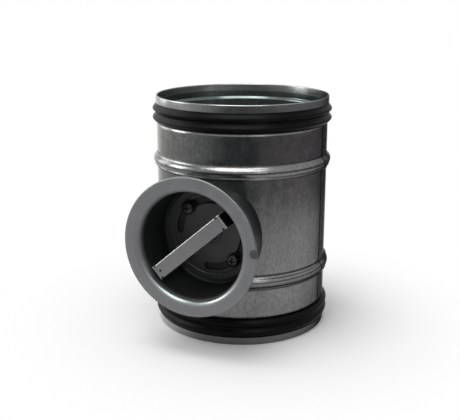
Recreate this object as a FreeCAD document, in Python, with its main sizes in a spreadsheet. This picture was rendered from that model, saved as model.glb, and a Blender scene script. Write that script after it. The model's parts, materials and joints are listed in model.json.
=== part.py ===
import FreeCAD, Part
import math
import os

import Sketcher

# Round duct damper with a hand-set blade
#
# A short length of round duct carries a round blade on a cross shaft. The shaft comes out through
# the floor of a deep round cup, where a slotted dial, two lock screws and a strap handle set the
# blade. The cup's flange stands off the tube by the thickness of the duct's insulation.
#
# Lengths are in millimetres. The origin is on the duct's axis at the lower rim, +Z runs up the
# duct, and the cup faces -Y.

DRIVING_SIZES = (
    ("duct_radius", "62.5", "outside radius of the plain tube"),
    ("duct_length", "170", "from rim to rim"),
    ("sheet", "0.6", "thickness of the tube's sheet"),
    ("hem_height", "5.4", "height of the folded rim"),
    ("hem_stand", "0.7", "how far the folded rim stands out of the tube"),
    ("hem_round", "0.4", "rounding of the folded rim"),
    ("groove_width", "13.4", "width of the seal's groove"),
    ("groove_depth", "1.2", "depth of the seal's groove"),
    ("shoulder_width", "3", "length of the round shoulder beside the groove"),
    ("shoulder_tuck", "0.2", "how much shorter that shoulder is inside the wall"),
    ("bead_place", "46", "from each rim to the middle of its bead"),
    ("bead_half_width", "6", "half the width of a bead with its fillets"),
    ("bead_height", "2.8", "how far a bead stands out"),
    ("seam_width", "7.2", "width of the lap seam"),
    ("seam_sink", "0.3", "how far the lap's sheet is pressed in"),
    ("seal_base", "2", "thickness of the seal's band"),
    ("seal_gap", "0.1", "room round the seal in its groove"),
    ("lip_height", "2.1", "how far a lip stands out of the seal's band"),
    ("lip_rise", "3.2", "length of a lip's leading slope"),
    ("lip_fall", "1.6", "length of a lip's trailing slope"),
    ("lip_tip", "0.9", "radius of a lip's tip"),
    ("lip_inset", "0.7", "from the seal's edge to the foot of its first lip"),
    ("lip_pitch", "6.6", "from one lip to the next"),
    ("cup_height", "79", "height of the blade's shaft and the cup"),
    ("cup_room", "3.8", "from the dial's edge to the outside of the cup's wall"),
    ("cup_sheet", "0.8", "thickness of the cup's sheet"),
    ("cup_sink", "10.5", "how far the back of the cup's floor lies inside the tube's surface"),
    ("cup_corner", "4.5", "outside radius of the cup's bottom corner"),
    ("cup_gap", "0.15", "room round the cup in the tube's wall"),
    ("stand_off", "30", "from the tube's surface to the flange, the insulation's thickness"),
    ("flange_width", "9.9", "how far the cup's flange stands out of its wall"),
    ("flange_edge", "2.2", "depth of the flange's turned edge"),
    ("edge_round", "1", "radius of the flange's turned edge"),
    ("mouth_round", "4.5", "radius of the cup's mouth"),
    ("dent_radius", "3.4", "radius of the dent at the flange's edge"),
    ("dent_depth", "0.4", "depth of the dent"),
    ("dent_inset", "1.6", "from the flange's edge to the middle of the dent"),
    ("dent_angle", "4.5", "the dent's angle above the horizontal"),
    ("run_gap", "0.15", "room between the dial and what it slides on"),
    ("pin_gap", "0.05", "radial room of a shaft, screw or rivet in its hole"),
    ("seat_gap", "0.1", "radial room of a bush or nut in its hole"),
    ("stand_pad", "1", "thickness of the flanges that the dial turns on"),
    ("shaft_radius", "4", "radius of the blade's shaft"),
    ("bush_wall", "2", "wall of the shaft's bushes"),
    ("front_flange", "9", "radius of the front bush's flange"),
    ("front_reach", "2.5", "how far the front bush reaches behind the cup's floor"),
    ("lock_inset", "10.1", "from the dial's edge to the circle that the lock screws stand on"),
    ("lock_angle", "135", "angle of the upper lock screw"),
    ("nut_radius", "3.5", "outside radius of a rivet nut"),
    ("nut_flange", "4.5", "radius of a rivet nut's flange"),
    ("nut_bulge", "4.7", "radius of a rivet nut's collar behind the floor"),
    ("nut_collar", "2.4", "thickness of that collar"),
    ("nut_length", "8", "length of a rivet nut behind the floor"),
    ("screw_radius", "2.5", "thread radius of the screws"),
    ("screw_head", "4.75", "radius of a screw's pan head"),
    ("screw_head_height", "3.2", "height of a screw's pan head"),
    ("screw_head_round", "1.9", "rounding of a screw's pan head"),
    ("screw_length", "10", "length of a lock screw under its head"),
    ("cross_length", "5.2", "span of the cross recess"),
    ("cross_width", "1.1", "width of the cross recess"),
    ("cross_depth", "1.7", "depth of the cross recess"),
    ("washer_radius", "5.2", "outside radius of a lock washer"),
    ("washer_sheet", "1", "thickness of a washer"),
    ("dial_border", "1.8", "how far the dial reaches past the handle's ends"),
    ("dial_sheet", "1.2", "thickness of the dial"),
    ("dial_rim", "0.8", "depth of the dial's turned rim"),
    ("dial_round", "0.5", "rounding of the dial's edge"),
    ("ring_inset", "4.7", "from the dial's edge to the ring pressed in it"),
    ("ring_width", "1.4", "width of that ring"),
    ("ring_depth", "0.4", "depth of that ring"),
    ("slot_width", "5.6", "width of the dial's slots"),
    ("slot_room", "3", "angle left over at each end of a slot"),
    ("swing", "45", "turn of the blade either way from half open"),
    ("rest_angle", "41", "the handle's angle above the horizontal as it rests"),
    ("drive_square", "6", "across the flats of the shaft's square end"),
    ("hub_hole_depth", "11", "depth of the thread in the shaft's end"),
    ("hub_washer_radius", "7.5", "outside radius of the hub washer"),
    ("bar_length", "65", "length of the handle"),
    ("bar_width", "10", "width of the handle"),
    ("bar_sheet", "1.2", "thickness of the handle's sheet"),
    ("bar_bend", "2", "outside radius of the handle's bends"),
    ("bar_fold", "3.6", "depth of the handle's folded sides"),
    ("fold_round", "0.9", "rounding of the folded sides"),
    ("relief_length", "1.5", "length of the notches where the folds meet the legs"),
    ("relief_depth", "1.3", "depth of those notches"),
    ("foot_length", "10", "length of the handle's feet"),
    ("peep_radius", "0.8", "radius of the small hole near the handle's end"),
    ("peep_inset", "4.6", "from the handle's end to that hole"),
    ("foot_rivet", "2", "radius of the rivets through the feet"),
    ("foot_rivet_inset", "5.9", "from the handle's ends to the rivets through its feet"),
    ("blade_room", "0.6", "room between the blade's rubber edge and the tube's bore"),
    ("blade_gap", "1", "room between the blade's straight edge and the cup's floor"),
    ("blade_sheet", "0.8", "thickness of a blade plate"),
    ("blade_web", "1.8", "space between the blade plates"),
    ("lip_width", "2.6", "width of the rubber edge outside the plates"),
    ("lip_thickness", "3.2", "thickness of the rubber edge"),
    ("rubber_inset", "9", "how far the rubber reaches in between the plates"),
    ("channel_gap", "0.15", "room between the shaft and the plates' channel"),
    ("blade_rivet", "1.6", "radius of the blade's rivets"),
    ("rivet_inset", "4.9", "from the plates' round edge to the blade's outer rivets"),
    ("rivet_angle", "35.2", "angle of the blade's outer rivets, seen from the shaft"),
    ("shaft_rivet", "1.8", "radius of the rivets through the shaft"),
    ("shaft_rivet_pitch", "54", "from one rivet through the shaft to the other"),
    ("bush_recess", "0.2", "how far the rear bush stays inside the tube's wall"),
    ("rear_stand", "1.5", "how far the rear bush's flange stands off the tube"),
    ("rear_flange", "16", "radius of the rear bush's flange"),
    ("rear_flange_sheet", "1.5", "thickness of the rear bush's flange"),
    ("boss_radius", "7.5", "outside radius of the rear bush's boss"),
    ("boss_length", "4.5", "length of the rear bush's boss"),
    ("rear_rivet", "1.6", "radius of the rivets that hold the rear bush"),
    ("rear_rivet_inset", "3.4", "from the rear flange's edge to the rivets that hold it"),
    ("rivet_head_ratio", "1.75", "a rivet head's radius for each millimetre of its shank's"),
    ("rivet_dome_ratio", "0.42", "a rivet head's height for each millimetre of its radius"),
    ("ring_seal_radius", "0.9", "section radius of the shaft's ring seal"),
    ("clip_radius", "6.4", "outside radius of the shaft's clip"),
    ("clip_sheet", "0.8", "thickness of the shaft's clip"),
    ("clip_groove", "3.1", "radius of the shaft in the clip's groove"),
    ("clip_mouth", "5", "width of the clip's mouth"),
    ("shaft_tail", "1.5", "how far the shaft reaches past its clip"),
    ("cap_wall", "1.2", "wall of the cap over the shaft's end"),
    ("cap_room", "0.8", "room between the shaft's end and the cap"),
    ("cap_round", "1.4", "rounding of the cap's edge"),
)

LEFT, RIGHT = 1, -1
UPRIGHT = FreeCAD.Vector(0, 0, 1)
SIDEWAYS = FreeCAD.Vector(1, 0, 0)
RIGHT_ANGLE = 90
FULL_ANGLE = 360
PAIR_COUNT = 2
SEAL_LIP_COUNT = 2
RIVET_ROW_COUNT = 3
SAME_PLACE = 0.01
SMALLEST_CUT = 0.001

document = FreeCAD.newDocument("duct_damper")


class Size:
    """A length or an angle that keeps its number and the formula that gives it."""

    def __init__(self, number, formula):
        self.number = number
        self.formula = formula

    def __add__(self, other):
        other = size_of(other)
        return Size(self.number + other.number, f"({self.formula} + {other.formula})")

    def __sub__(self, other):
        other = size_of(other)
        return Size(self.number - other.number, f"({self.formula} - {other.formula})")

    def __mul__(self, other):
        other = size_of(other)
        return Size(self.number * other.number, f"({self.formula} * {other.formula})")

    def __truediv__(self, other):
        other = size_of(other)
        return Size(self.number / other.number, f"({self.formula} / {other.formula})")

    def __neg__(self):
        return Size(-self.number, f"(-{self.formula})")


def size_of(value):
    if isinstance(value, Size):
        return value
    return Size(float(value), repr(float(value)))


def root(value):
    return Size(math.sqrt(value.number), f"sqrt({value.formula})")


def cosine(angle):
    return Size(math.cos(math.radians(angle.number)), f"cos({angle.formula} * 1 deg)")


def sine(angle):
    return Size(math.sin(math.radians(angle.number)), f"sin({angle.formula} * 1 deg)")


def chord_reach(radius, offset):
    """Half the chord that a circle leaves at this offset from its centre."""
    return root(radius * radius - offset * offset)


class SizeSheet:
    """The driving sizes, each a named cell of the sheet and an attribute here."""

    def __init__(self, rows):
        sheet = document.addObject("Spreadsheet::Sheet", "Sizes")
        for number, (name, value, note) in enumerate(rows, start=1):
            sheet.set(f"A{number}", name)
            sheet.set(f"B{number}", value)
            sheet.setAlias(f"B{number}", name)
            sheet.set(f"C{number}", note)
            setattr(self, name, Size(float(value), f"Sizes.{name}"))


S = SizeSheet(DRIVING_SIZES)
document.recompute()

# Levels along the handle's axis, measured from the duct's axis towards the cup's mouth
cup_floor = S.duct_radius - S.cup_sink
floor_front = cup_floor + S.cup_sheet
pad_front = floor_front + S.stand_pad
dial_back = pad_front + S.run_gap
dial_front = dial_back + S.dial_sheet
washer_back = dial_front + S.run_gap
washer_front = washer_back + S.washer_sheet
flange_front = S.duct_radius + S.stand_off
blade_edge = cup_floor - S.blade_gap

# Levels behind the duct's axis
bush_start = S.duct_radius - S.sheet + S.bush_recess
rear_face = S.duct_radius + S.rear_stand
rear_flange_back = rear_face + S.rear_flange_sheet
boss_end = rear_flange_back + S.boss_length
clip_start = boss_end + S.run_gap
clip_end = clip_start + S.clip_sheet
shaft_end = clip_end + S.shaft_tail

# Radii that several pieces share
bush_radius = S.shaft_radius + S.bush_wall
groove_floor = S.duct_radius - S.groove_depth
hem_radius = S.duct_radius + S.hem_stand
groove_end = S.hem_height + S.groove_width
blade_radius = S.duct_radius - S.sheet - S.blade_room
plate_radius = blade_radius - S.lip_width
plate_edge = blade_edge - S.lip_width
channel_bore = S.shaft_radius + S.channel_gap

# The handle sets the dial, and the dial sets the cup
dial_radius = S.bar_length / 2 + S.dial_border
ring_radius = dial_radius - S.ring_inset
cup_radius = dial_radius + S.cup_room
flange_radius = cup_radius + S.flange_width

# Circles and columns that screws and rivets stand on
lock_circle = dial_radius - S.lock_inset
foot_rivet_place = S.bar_length / 2 - S.foot_rivet_inset
rear_rivet_circle = S.rear_flange - S.rear_rivet_inset
rivet_column = (plate_radius - S.rivet_inset) * cosine(S.rivet_angle)
rivet_pitch = (plate_radius - S.rivet_inset) * sine(S.rivet_angle)


class Path:
    """The corners of a section in order, joined by straight lines and arcs."""

    def __init__(self, across, along):
        self.corners = [(size_of(across), size_of(along))]
        self.runs = []

    def line(self, across, along):
        self.corners.append((size_of(across), size_of(along)))
        self.runs.append((None, LEFT))
        return self

    def arc(self, across, along, radius, turn):
        self.corners.append((size_of(across), size_of(along)))
        self.runs.append((radius, turn))
        return self

    def close_arc(self, radius, turn):
        self.runs.append((radius, turn))
        return self

    def mirrored_back(self, mirror):
        """Go on with the mirror image of the path, travelled backwards."""
        corners = [mirror(*corner) for corner in reversed(self.corners)]
        self.corners.extend(corners)
        self.runs.extend([(None, LEFT)] + self.runs[::-1])
        return self

    def joined_to(self, other):
        """Go on to the end of another path and travel it backwards."""
        back = [(radius, -turn if radius else LEFT) for radius, turn in other.runs[::-1]]
        self.corners.extend(other.corners[::-1])
        self.runs.extend([(None, LEFT)] + back)
        return self


def same_end(radius, height):
    return radius, height


def other_end(radius, height):
    """The same place at the duct's other end."""
    return radius, S.duct_length - height


def arc_through(start, finish, radius, turn):
    """The short arc between two corners, and whether it runs against its travel."""
    chord = finish - start
    square = FreeCAD.Vector(-chord.y, chord.x, 0).normalize()
    rise = math.sqrt(max(radius**2 - chord.Length**2 / 4, 0))
    centre = start + chord * 0.5 + square * rise * turn
    first, last = (start, finish) if turn == LEFT else (finish, start)
    angles = [math.atan2(end.y - centre.y, end.x - centre.x) for end in (first, last)]
    if angles[1] < angles[0]:
        angles[1] += 2 * math.pi
    return Part.ArcOfCircle(Part.Circle(centre, UPRIGHT, radius), *angles)


def pin_point(sketch, curve, end, across, along):
    """Hold a point of a sketch at its two formulas."""
    for kind, value in (("DistanceX", across), ("DistanceY", along)):
        constraint = Sketcher.Constraint(kind, -1, 1, curve, end, value.number)
        number = sketch.addConstraint(constraint)
        sketch.setExpression(f"Constraints[{number}]", value.formula)


def hold_radius(sketch, curve, radius):
    number = sketch.addConstraint(Sketcher.Constraint("Radius", curve, radius.number))
    sketch.setExpression(f"Constraints[{number}]", radius.formula)


def draw(sketch, path):
    """Draw a closed path in a sketch and pin its corners and radii."""
    places = [FreeCAD.Vector(a.number, b.number, 0) for a, b in path.corners]
    runs = path.runs + [(None, LEFT)] * (len(path.corners) - len(path.runs))
    first = sketch.GeometryCount
    curves = []
    for number, (radius, turn) in enumerate(runs):
        start, finish = places[number], places[(number + 1) % len(places)]
        if radius is None:
            curves.append(Part.LineSegment(start, finish))
        else:
            curves.append(arc_through(start, finish, radius.number, turn))
    sketch.addGeometry(curves, False)
    joints = []
    for number, (radius, turn) in enumerate(runs):
        following = (number + 1) % len(runs)
        end = 2 if turn == LEFT else 1
        begin = 1 if runs[following][1] == LEFT else 2
        joint = ("Coincident", first + number, end, first + following, begin)
        joints.append(Sketcher.Constraint(*joint))
    sketch.addConstraint(joints)
    for number, (across, along) in enumerate(path.corners):
        begin = 1 if runs[number][1] == LEFT else 2
        pin_point(sketch, first + number, begin, across, along)
    for number, (radius, turn) in enumerate(runs):
        if radius is not None:
            hold_radius(sketch, first + number, radius)


def draw_axis(sketch, start, finish):
    """A centre line from one place of the sketch to another."""
    ends = [(size_of(across), size_of(along)) for across, along in (start, finish)]
    points = [FreeCAD.Vector(across.number, along.number, 0) for across, along in ends]
    line = sketch.addGeometry(Part.LineSegment(*points), True)
    for end, (across, along) in enumerate(ends, start=1):
        pin_point(sketch, line, end, across, along)
    return "Axis0"


def draw_circle(sketch, radius, across=0, along=0):
    radius, across, along = size_of(radius), size_of(across), size_of(along)
    centre = FreeCAD.Vector(across.number, along.number, 0)
    curve = sketch.addGeometry(Part.Circle(centre, UPRIGHT, radius.number), False)
    pin_point(sketch, curve, 3, across, along)
    hold_radius(sketch, curve, radius)


def rectangle(left, low, right, high):
    return Path(left, low).line(right, low).line(right, high).line(left, high)


def new_body(name):
    body = document.addObject("PartDesign::Body", name)
    body.Label = name
    return body


def origin_link(body, role):
    """A link to one of the body's own planes or axes."""
    items = {item.Role: item for item in body.Origin.OriginFeatures}
    return items[role], [""]


def new_sketch(body, name, plane, lift=None):
    """A sketch on one of the body's own planes, lifted along that plane's normal."""
    sketch = body.newObject("Sketcher::SketchObject", f"{body.Label}_{name}_sketch")
    sketch.AttachmentSupport = origin_link(body, f"{plane}_Plane")
    sketch.MapMode = "FlatFace"
    if lift is not None:
        sketch.setExpression("AttachmentOffset.Base.z", size_of(lift).formula)
    return sketch


def swept(body, kind, name, sketch, length, symmetric, reverse):
    feature = body.newObject(kind, f"{body.Label}_{name}")
    feature.Profile = sketch
    if length is None:
        feature.Type = "ThroughAll"
    else:
        feature.setExpression("Length", size_of(length).formula)
    if symmetric:
        feature.SideType = "Symmetric"
    feature.Reversed = reverse
    return feature


def pad(body, name, sketch, length, symmetric=False, reverse=False):
    return swept(body, "PartDesign::Pad", name, sketch, length, symmetric, reverse)


def pocket(body, name, sketch, length=None, symmetric=False, reverse=False):
    return swept(body, "PartDesign::Pocket", name, sketch, length, symmetric, reverse)


def spun(body, kind, name, sketch, axis="V_Axis"):
    """Turn a sketch about one of its own axes."""
    feature = body.newObject(kind, f"{body.Label}_{name}")
    feature.Profile = sketch
    feature.ReferenceAxis = (sketch, [axis])
    return feature


def turned(body, name, path, plane="XZ", lift=None, centre=None):
    """Add the solid that a section leaves when it turns about its axis or a centre line."""
    sketch = new_sketch(body, name, plane, lift)
    draw(sketch, path)
    axis = "V_Axis"
    if centre is not None:
        axis = draw_axis(sketch, (centre, 0), (centre, S.duct_radius))
    return spun(body, "PartDesign::Revolution", name, sketch, axis)


def opposite_pair(body, name, feature):
    """Repeat a feature on the other side of the body's own Z axis."""
    pattern = body.newObject("PartDesign::PolarPattern", f"{body.Label}_{name}")
    pattern.Originals = [feature]
    pattern.Axis = origin_link(body, "Z_Axis")
    pattern.Angle = FULL_ANGLE
    pattern.Occurrences = PAIR_COUNT
    body.Tip = pattern


def place_in_front(body, turn=0, across=0, up=0):
    """Stand a body on the handle's axis: its own Z runs out of the cup's mouth."""
    upright = FreeCAD.Rotation(SIDEWAYS, RIGHT_ANGLE)
    body.Placement = FreeCAD.Placement(
        FreeCAD.Vector(0, 0, 0), upright * FreeCAD.Rotation(UPRIGHT, turn)
    )
    body.setExpression("Placement.Base.x", size_of(across).formula)
    body.setExpression("Placement.Base.z", (S.cup_height + up).formula)


def place_behind(body, turn=0):
    """Stand a body on the shaft's axis with its own Z running out of the rear wall."""
    lying = FreeCAD.Rotation(SIDEWAYS, -RIGHT_ANGLE)
    body.Placement = FreeCAD.Placement(
        FreeCAD.Vector(0, 0, 0), lying * FreeCAD.Rotation(UPRIGHT, turn)
    )
    body.setExpression("Placement.Base.z", S.cup_height.formula)


def round_edges(body, name, radius, wanted):
    """Round every edge of the body that the test picks out."""
    document.recompute()
    base = body.Tip
    edges = [
        f"Edge{number}"
        for number, edge in enumerate(base.Shape.Edges, start=1)
        if wanted(edge)
    ]
    fillet = body.newObject("PartDesign::Fillet", f"{body.Label}_{name}")
    fillet.Base = (base, edges)
    fillet.setExpression("Radius", radius.formula)
    return fillet


# The tube, rolled from one sheet with a folded rim, a seal groove and a bead at each end


def add_bead(path, surface):
    """Run a path over the bead at a surface this far outside the tube's radius."""
    width, height = S.bead_half_width, S.bead_height
    bend = (width * width + height * height) / (height * 4)
    lean = width / (bend * 2)
    upright = (bend - height / 2) / bend
    base = S.duct_radius + surface
    crest = bend + surface
    flank = S.duct_radius + height - bend + crest * upright
    path.line(base, S.bead_place - width)
    path.arc(flank, S.bead_place - crest * lean, bend - surface, RIGHT)
    path.arc(flank, S.bead_place + crest * lean, crest, LEFT)
    path.arc(base, S.bead_place + width, bend - surface, RIGHT)


def shoulder_bend(width):
    """Radius of the arc that climbs the groove's depth over this width."""
    return (width * width + S.groove_depth * S.groove_depth) / (S.groove_depth * 2)


def duct_section():
    """The wall's section, from the rim's foot up the outside and down the inside."""
    outer = Path(hem_radius - S.hem_round, 0)
    outer.arc(hem_radius, S.hem_round, S.hem_round, LEFT)
    outer.line(hem_radius, S.hem_height - S.hem_round)
    outer.arc(hem_radius - S.hem_round, S.hem_height, S.hem_round, LEFT)
    outer.line(groove_floor, S.hem_height)
    outer.line(groove_floor, groove_end)
    tube_start = groove_end + S.shoulder_width
    outer.arc(S.duct_radius, tube_start, shoulder_bend(S.shoulder_width), LEFT)
    add_bead(outer, size_of(0))
    outer.mirrored_back(other_end)

    bore = S.duct_radius - S.sheet
    inner_width = S.shoulder_width - S.shoulder_tuck
    inner = Path(bore + S.hem_round, 0)
    inner.arc(bore, S.hem_round, S.hem_round, RIGHT)
    inner.line(bore, S.hem_height - S.sheet * 2)
    inner.line(groove_floor - S.sheet, S.hem_height)
    inner.line(groove_floor - S.sheet, tube_start - inner_width)
    inner.arc(bore, tube_start, shoulder_bend(inner_width), LEFT)
    add_bead(inner, -S.sheet)
    inner.mirrored_back(other_end)

    return outer.joined_to(inner)


def seam_section():
    """The lapped sheet that stands on the tube between the two seal grooves."""
    start = groove_end + S.shoulder_width
    outer = Path(S.duct_radius + S.sheet, start)
    add_bead(outer, S.sheet)
    outer.mirrored_back(other_end)
    inner = Path(S.duct_radius - S.seam_sink, start)
    add_bead(inner, -S.seam_sink)
    inner.mirrored_back(other_end)
    return outer.joined_to(inner)


def cup_clearance():
    """Half the cup's outline with room round it, drawn from the handle's axis."""
    radius = cup_radius + S.cup_gap
    corner = S.cup_corner + S.cup_gap
    back = -(cup_floor - S.cup_gap)
    bend = -(cup_floor + S.cup_corner)
    front = -flange_front
    path = Path(back, S.cup_height)
    path.line(back, S.cup_height + radius - corner)
    path.arc(bend, S.cup_height + radius, corner, LEFT)
    path.line(front, S.cup_height + radius)
    path.line(front, S.cup_height)
    return path


def lock_point(circle, angle):
    return circle * cosine(angle), circle * sine(angle)


def make_duct_body():
    body = new_body("duct_body")
    turned(body, "wall", duct_section())
    seam = turned(body, "seam", seam_section())
    seam_angle = S.seam_width / S.duct_radius * math.degrees(1)
    seam.setExpression("Angle", seam_angle.formula)
    seam.Midplane = True
    sketch = new_sketch(body, "cup_hole", "YZ")
    draw(sketch, cup_clearance())
    axis = draw_axis(sketch, (0, S.cup_height), (-flange_front, S.cup_height))
    spun(body, "PartDesign::Groove", "cup_hole", sketch, axis)
    sketch = new_sketch(body, "rear_holes", "XZ")
    draw_circle(sketch, bush_radius + S.seat_gap, 0, S.cup_height)
    across, up = lock_point(rear_rivet_circle, S.lock_angle)
    rivet_hole = S.rear_rivet + S.pin_gap
    draw_circle(sketch, rivet_hole, across, S.cup_height + up)
    draw_circle(sketch, rivet_hole, -across, S.cup_height - up)
    pocket(body, "rear_holes", sketch, S.duct_radius + S.bead_height)
    return body


# The rubber seals, one in the groove at each end, with two lips that lean away from the rim


def seal_section(end):
    """end turns a radius and a height above the lower rim into that end's place."""
    base = groove_floor + S.seal_base
    foot = S.hem_height + S.seal_gap
    last = groove_end - S.seal_gap
    path = Path(groove_floor + S.seal_gap, foot).line(base - S.seal_gap, foot)
    first_lip = foot + S.lip_inset
    for number in range(SEAL_LIP_COUNT):
        start = first_lip + S.lip_pitch * number
        tip = start + S.lip_rise
        crown = base + S.lip_height
        path.line(base, start)
        path.line(crown - S.lip_tip, tip - S.lip_tip)
        path.arc(crown, tip, S.lip_tip, LEFT)
        path.arc(crown - S.lip_tip, tip + S.lip_tip, S.lip_tip, LEFT)
        path.line(base, tip + S.lip_tip + S.lip_fall)
    path.line(base - S.seal_base / 2, last).line(groove_floor + S.seal_gap, last)
    path.corners = [end(*corner) for corner in path.corners]
    return path


def make_seal(name, end, turn):
    body = new_body(name)
    path = seal_section(end)
    path.runs = [(radius, turn if radius else LEFT) for radius, _ in path.runs]
    turned(body, "section", path)
    return body


# The handle cup, drawn from one sheet, with a flat flange and a small turned edge


def cup_section():
    inside = cup_radius - S.cup_sheet
    bend = cup_floor + S.cup_corner
    corner = cup_radius - S.cup_corner
    lip = flange_front - S.mouth_round
    rim = flange_radius - S.edge_round
    bore = bush_radius + S.seat_gap
    path = Path(bore, floor_front).line(corner, floor_front)
    path.arc(inside, bend, S.cup_corner - S.cup_sheet, LEFT)
    path.line(inside, lip)
    path.arc(inside + S.mouth_round, flange_front, S.mouth_round, RIGHT)
    path.line(rim, flange_front)
    path.arc(flange_radius, flange_front - S.edge_round, S.edge_round, RIGHT)
    path.line(flange_radius, flange_front - S.flange_edge)
    path.line(flange_radius - S.cup_sheet, flange_front - S.flange_edge)
    path.line(flange_radius - S.cup_sheet, flange_front - S.edge_round)
    path.arc(rim, flange_front - S.cup_sheet, S.edge_round - S.cup_sheet, LEFT)
    path.line(inside + S.mouth_round, flange_front - S.cup_sheet)
    path.arc(cup_radius, lip, S.mouth_round - S.cup_sheet, LEFT)
    path.line(cup_radius, bend)
    path.arc(corner, cup_floor, S.cup_corner, RIGHT)
    path.line(bore, cup_floor)
    return path


def make_handle_cup():
    body = new_body("handle_cup")
    turned(body, "section", cup_section())
    sketch = new_sketch(body, "nut_hole", "XY", cup_floor + S.cup_corner)
    across, up = lock_point(lock_circle, S.lock_angle)
    draw_circle(sketch, S.nut_radius + S.seat_gap, across, up)
    hole = pocket(body, "nut_hole", sketch, S.cup_corner * 2)
    opposite_pair(body, "nut_holes", hole)
    sketch = new_sketch(body, "dent", "XY", flange_front)
    across, up = lock_point(flange_radius - S.dent_inset, S.dent_angle)
    draw_circle(sketch, S.dent_radius, across, up)
    pocket(body, "dent", sketch, S.dent_depth)
    place_in_front(body)
    return body


# The shaft's bearings: a flanged bush in the cup's floor, and one on a shaped gasket behind


def make_front_bush():
    body = new_body("front_bush")
    back = cup_floor - S.front_reach
    path = Path(S.shaft_radius + S.pin_gap, back).line(bush_radius, back)
    path.line(bush_radius, floor_front).line(S.front_flange, floor_front)
    path.line(S.front_flange, pad_front).line(S.shaft_radius + S.pin_gap, pad_front)
    turned(body, "section", path)
    place_in_front(body)
    return body


def ring_groove_middle():
    return rear_flange_back + S.boss_length / 2


def make_rear_bush():
    body = new_body("rear_bush")
    bore = S.shaft_radius + S.pin_gap
    groove = S.ring_seal_radius + S.pin_gap
    middle = ring_groove_middle()
    path = Path(bore, bush_start).line(bush_radius, bush_start)
    path.line(bush_radius, rear_face).line(S.rear_flange, rear_face)
    path.line(S.rear_flange, rear_flange_back).line(S.boss_radius, rear_flange_back)
    path.line(S.boss_radius, boss_end).line(bore, boss_end)
    path.line(bore, middle + groove).line(bore + groove * 2, middle + groove)
    path.line(bore + groove * 2, middle - groove).line(bore, middle - groove)
    turned(body, "section", path)
    rear_rivet_holes(body)
    place_behind(body)
    return body


def rear_rivet_holes(body):
    """Two holes on the line that the blade never reaches."""
    sketch = new_sketch(body, "rivet_hole", "XY", S.duct_radius)
    across, up = lock_point(rear_rivet_circle, -S.lock_angle)
    draw_circle(sketch, S.rear_rivet + S.pin_gap, across, up)
    hole = pocket(body, "rivet_hole", sketch, S.rear_flange, symmetric=True)
    opposite_pair(body, "rivet_holes", hole)


def make_rear_gasket():
    body = new_body("rear_gasket")
    sketch = new_sketch(body, "ring", "XY", rear_face - S.pin_gap)
    draw_circle(sketch, S.rear_flange)
    draw_circle(sketch, bush_radius + S.seat_gap)
    pad(body, "ring", sketch, S.rear_flange / 2, reverse=True)
    rear_rivet_holes(body)
    sketch = new_sketch(body, "saddle", "XZ")
    draw_circle(sketch, S.duct_radius + S.pin_gap)
    pocket(body, "saddle", sketch, symmetric=True)
    place_behind(body)
    return body


def make_shaft_ring():
    body = new_body("shaft_ring_seal")
    sketch = new_sketch(body, "section", "XZ")
    centre = S.shaft_radius + S.pin_gap + S.ring_seal_radius
    draw_circle(sketch, S.ring_seal_radius, centre, ring_groove_middle())
    spun(body, "PartDesign::Revolution", "ring", sketch)
    place_behind(body)
    return body


def rivet_dome(radius):
    """A rivet head's radius, its height and the radius of its dome."""
    head = radius * S.rivet_head_ratio
    height = head * S.rivet_dome_ratio
    return head, height, (head * head + height * height) / (height * 2)


def add_rivet(body, radius, centre, back, front, plane="XZ", lift=None):
    """A rivet beside the axis, with a domed head at each end of its shank."""
    head, height, dome = rivet_dome(radius)
    path = Path(centre, back - height)
    path.arc(centre + head, back, dome, LEFT)
    path.line(centre + radius, back).line(centre + radius, front)
    path.line(centre + head, front).arc(centre, front + height, dome, LEFT)
    return turned(body, "rivet", path, plane=plane, lift=lift, centre=centre)


def make_rear_rivets():
    body = new_body("rear_rivets")
    across, up = lock_point(rear_rivet_circle, S.lock_angle)
    head, _, _ = rivet_dome(S.rear_rivet)
    seat = chord_reach(S.duct_radius - S.sheet, -across + head) - S.pin_gap
    rivet = add_rivet(body, S.rear_rivet, rear_rivet_circle, seat, rear_flange_back)
    opposite_pair(body, "rivets", rivet)
    place_behind(body, -S.lock_angle.number)
    return body


def make_rear_cap():
    body = new_body("rear_cap")
    inside = S.boss_radius + S.pin_gap
    outside = inside + S.cap_wall
    ceiling = shaft_end + S.cap_room
    top = ceiling + S.cap_wall
    path = Path(inside, rear_flange_back).line(outside, rear_flange_back)
    path.line(outside, top - S.cap_round)
    path.arc(outside - S.cap_round, top, S.cap_round, LEFT)
    path.line(0, top).line(0, ceiling).line(inside, ceiling)
    turned(body, "section", path)
    place_behind(body)
    return body


def make_shaft_clip():
    """An open clip that snaps into the groove near the shaft's rear end."""
    body = new_body("shaft_clip")
    sketch = new_sketch(body, "ring", "XY", clip_start)
    bore = S.clip_groove + S.pin_gap
    mouth = S.clip_mouth / 2
    outer_side = chord_reach(S.clip_radius, mouth)
    inner_side = chord_reach(bore, mouth)
    path = Path(mouth, -outer_side)
    path.arc(S.clip_radius, 0, S.clip_radius, LEFT)
    path.arc(0, S.clip_radius, S.clip_radius, LEFT)
    path.arc(-S.clip_radius, 0, S.clip_radius, LEFT)
    path.arc(-mouth, -outer_side, S.clip_radius, LEFT)
    path.line(-mouth, -inner_side)
    path.arc(-bore, 0, bore, RIGHT)
    path.arc(0, bore, bore, RIGHT)
    path.arc(bore, 0, bore, RIGHT)
    path.arc(mouth, -inner_side, bore, RIGHT)
    draw(sketch, path)
    pad(body, "ring", sketch, S.clip_sheet)
    place_behind(body)
    return body


# The lock: two screws through the dial's slots into rivet nuts in the cup's floor


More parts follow.
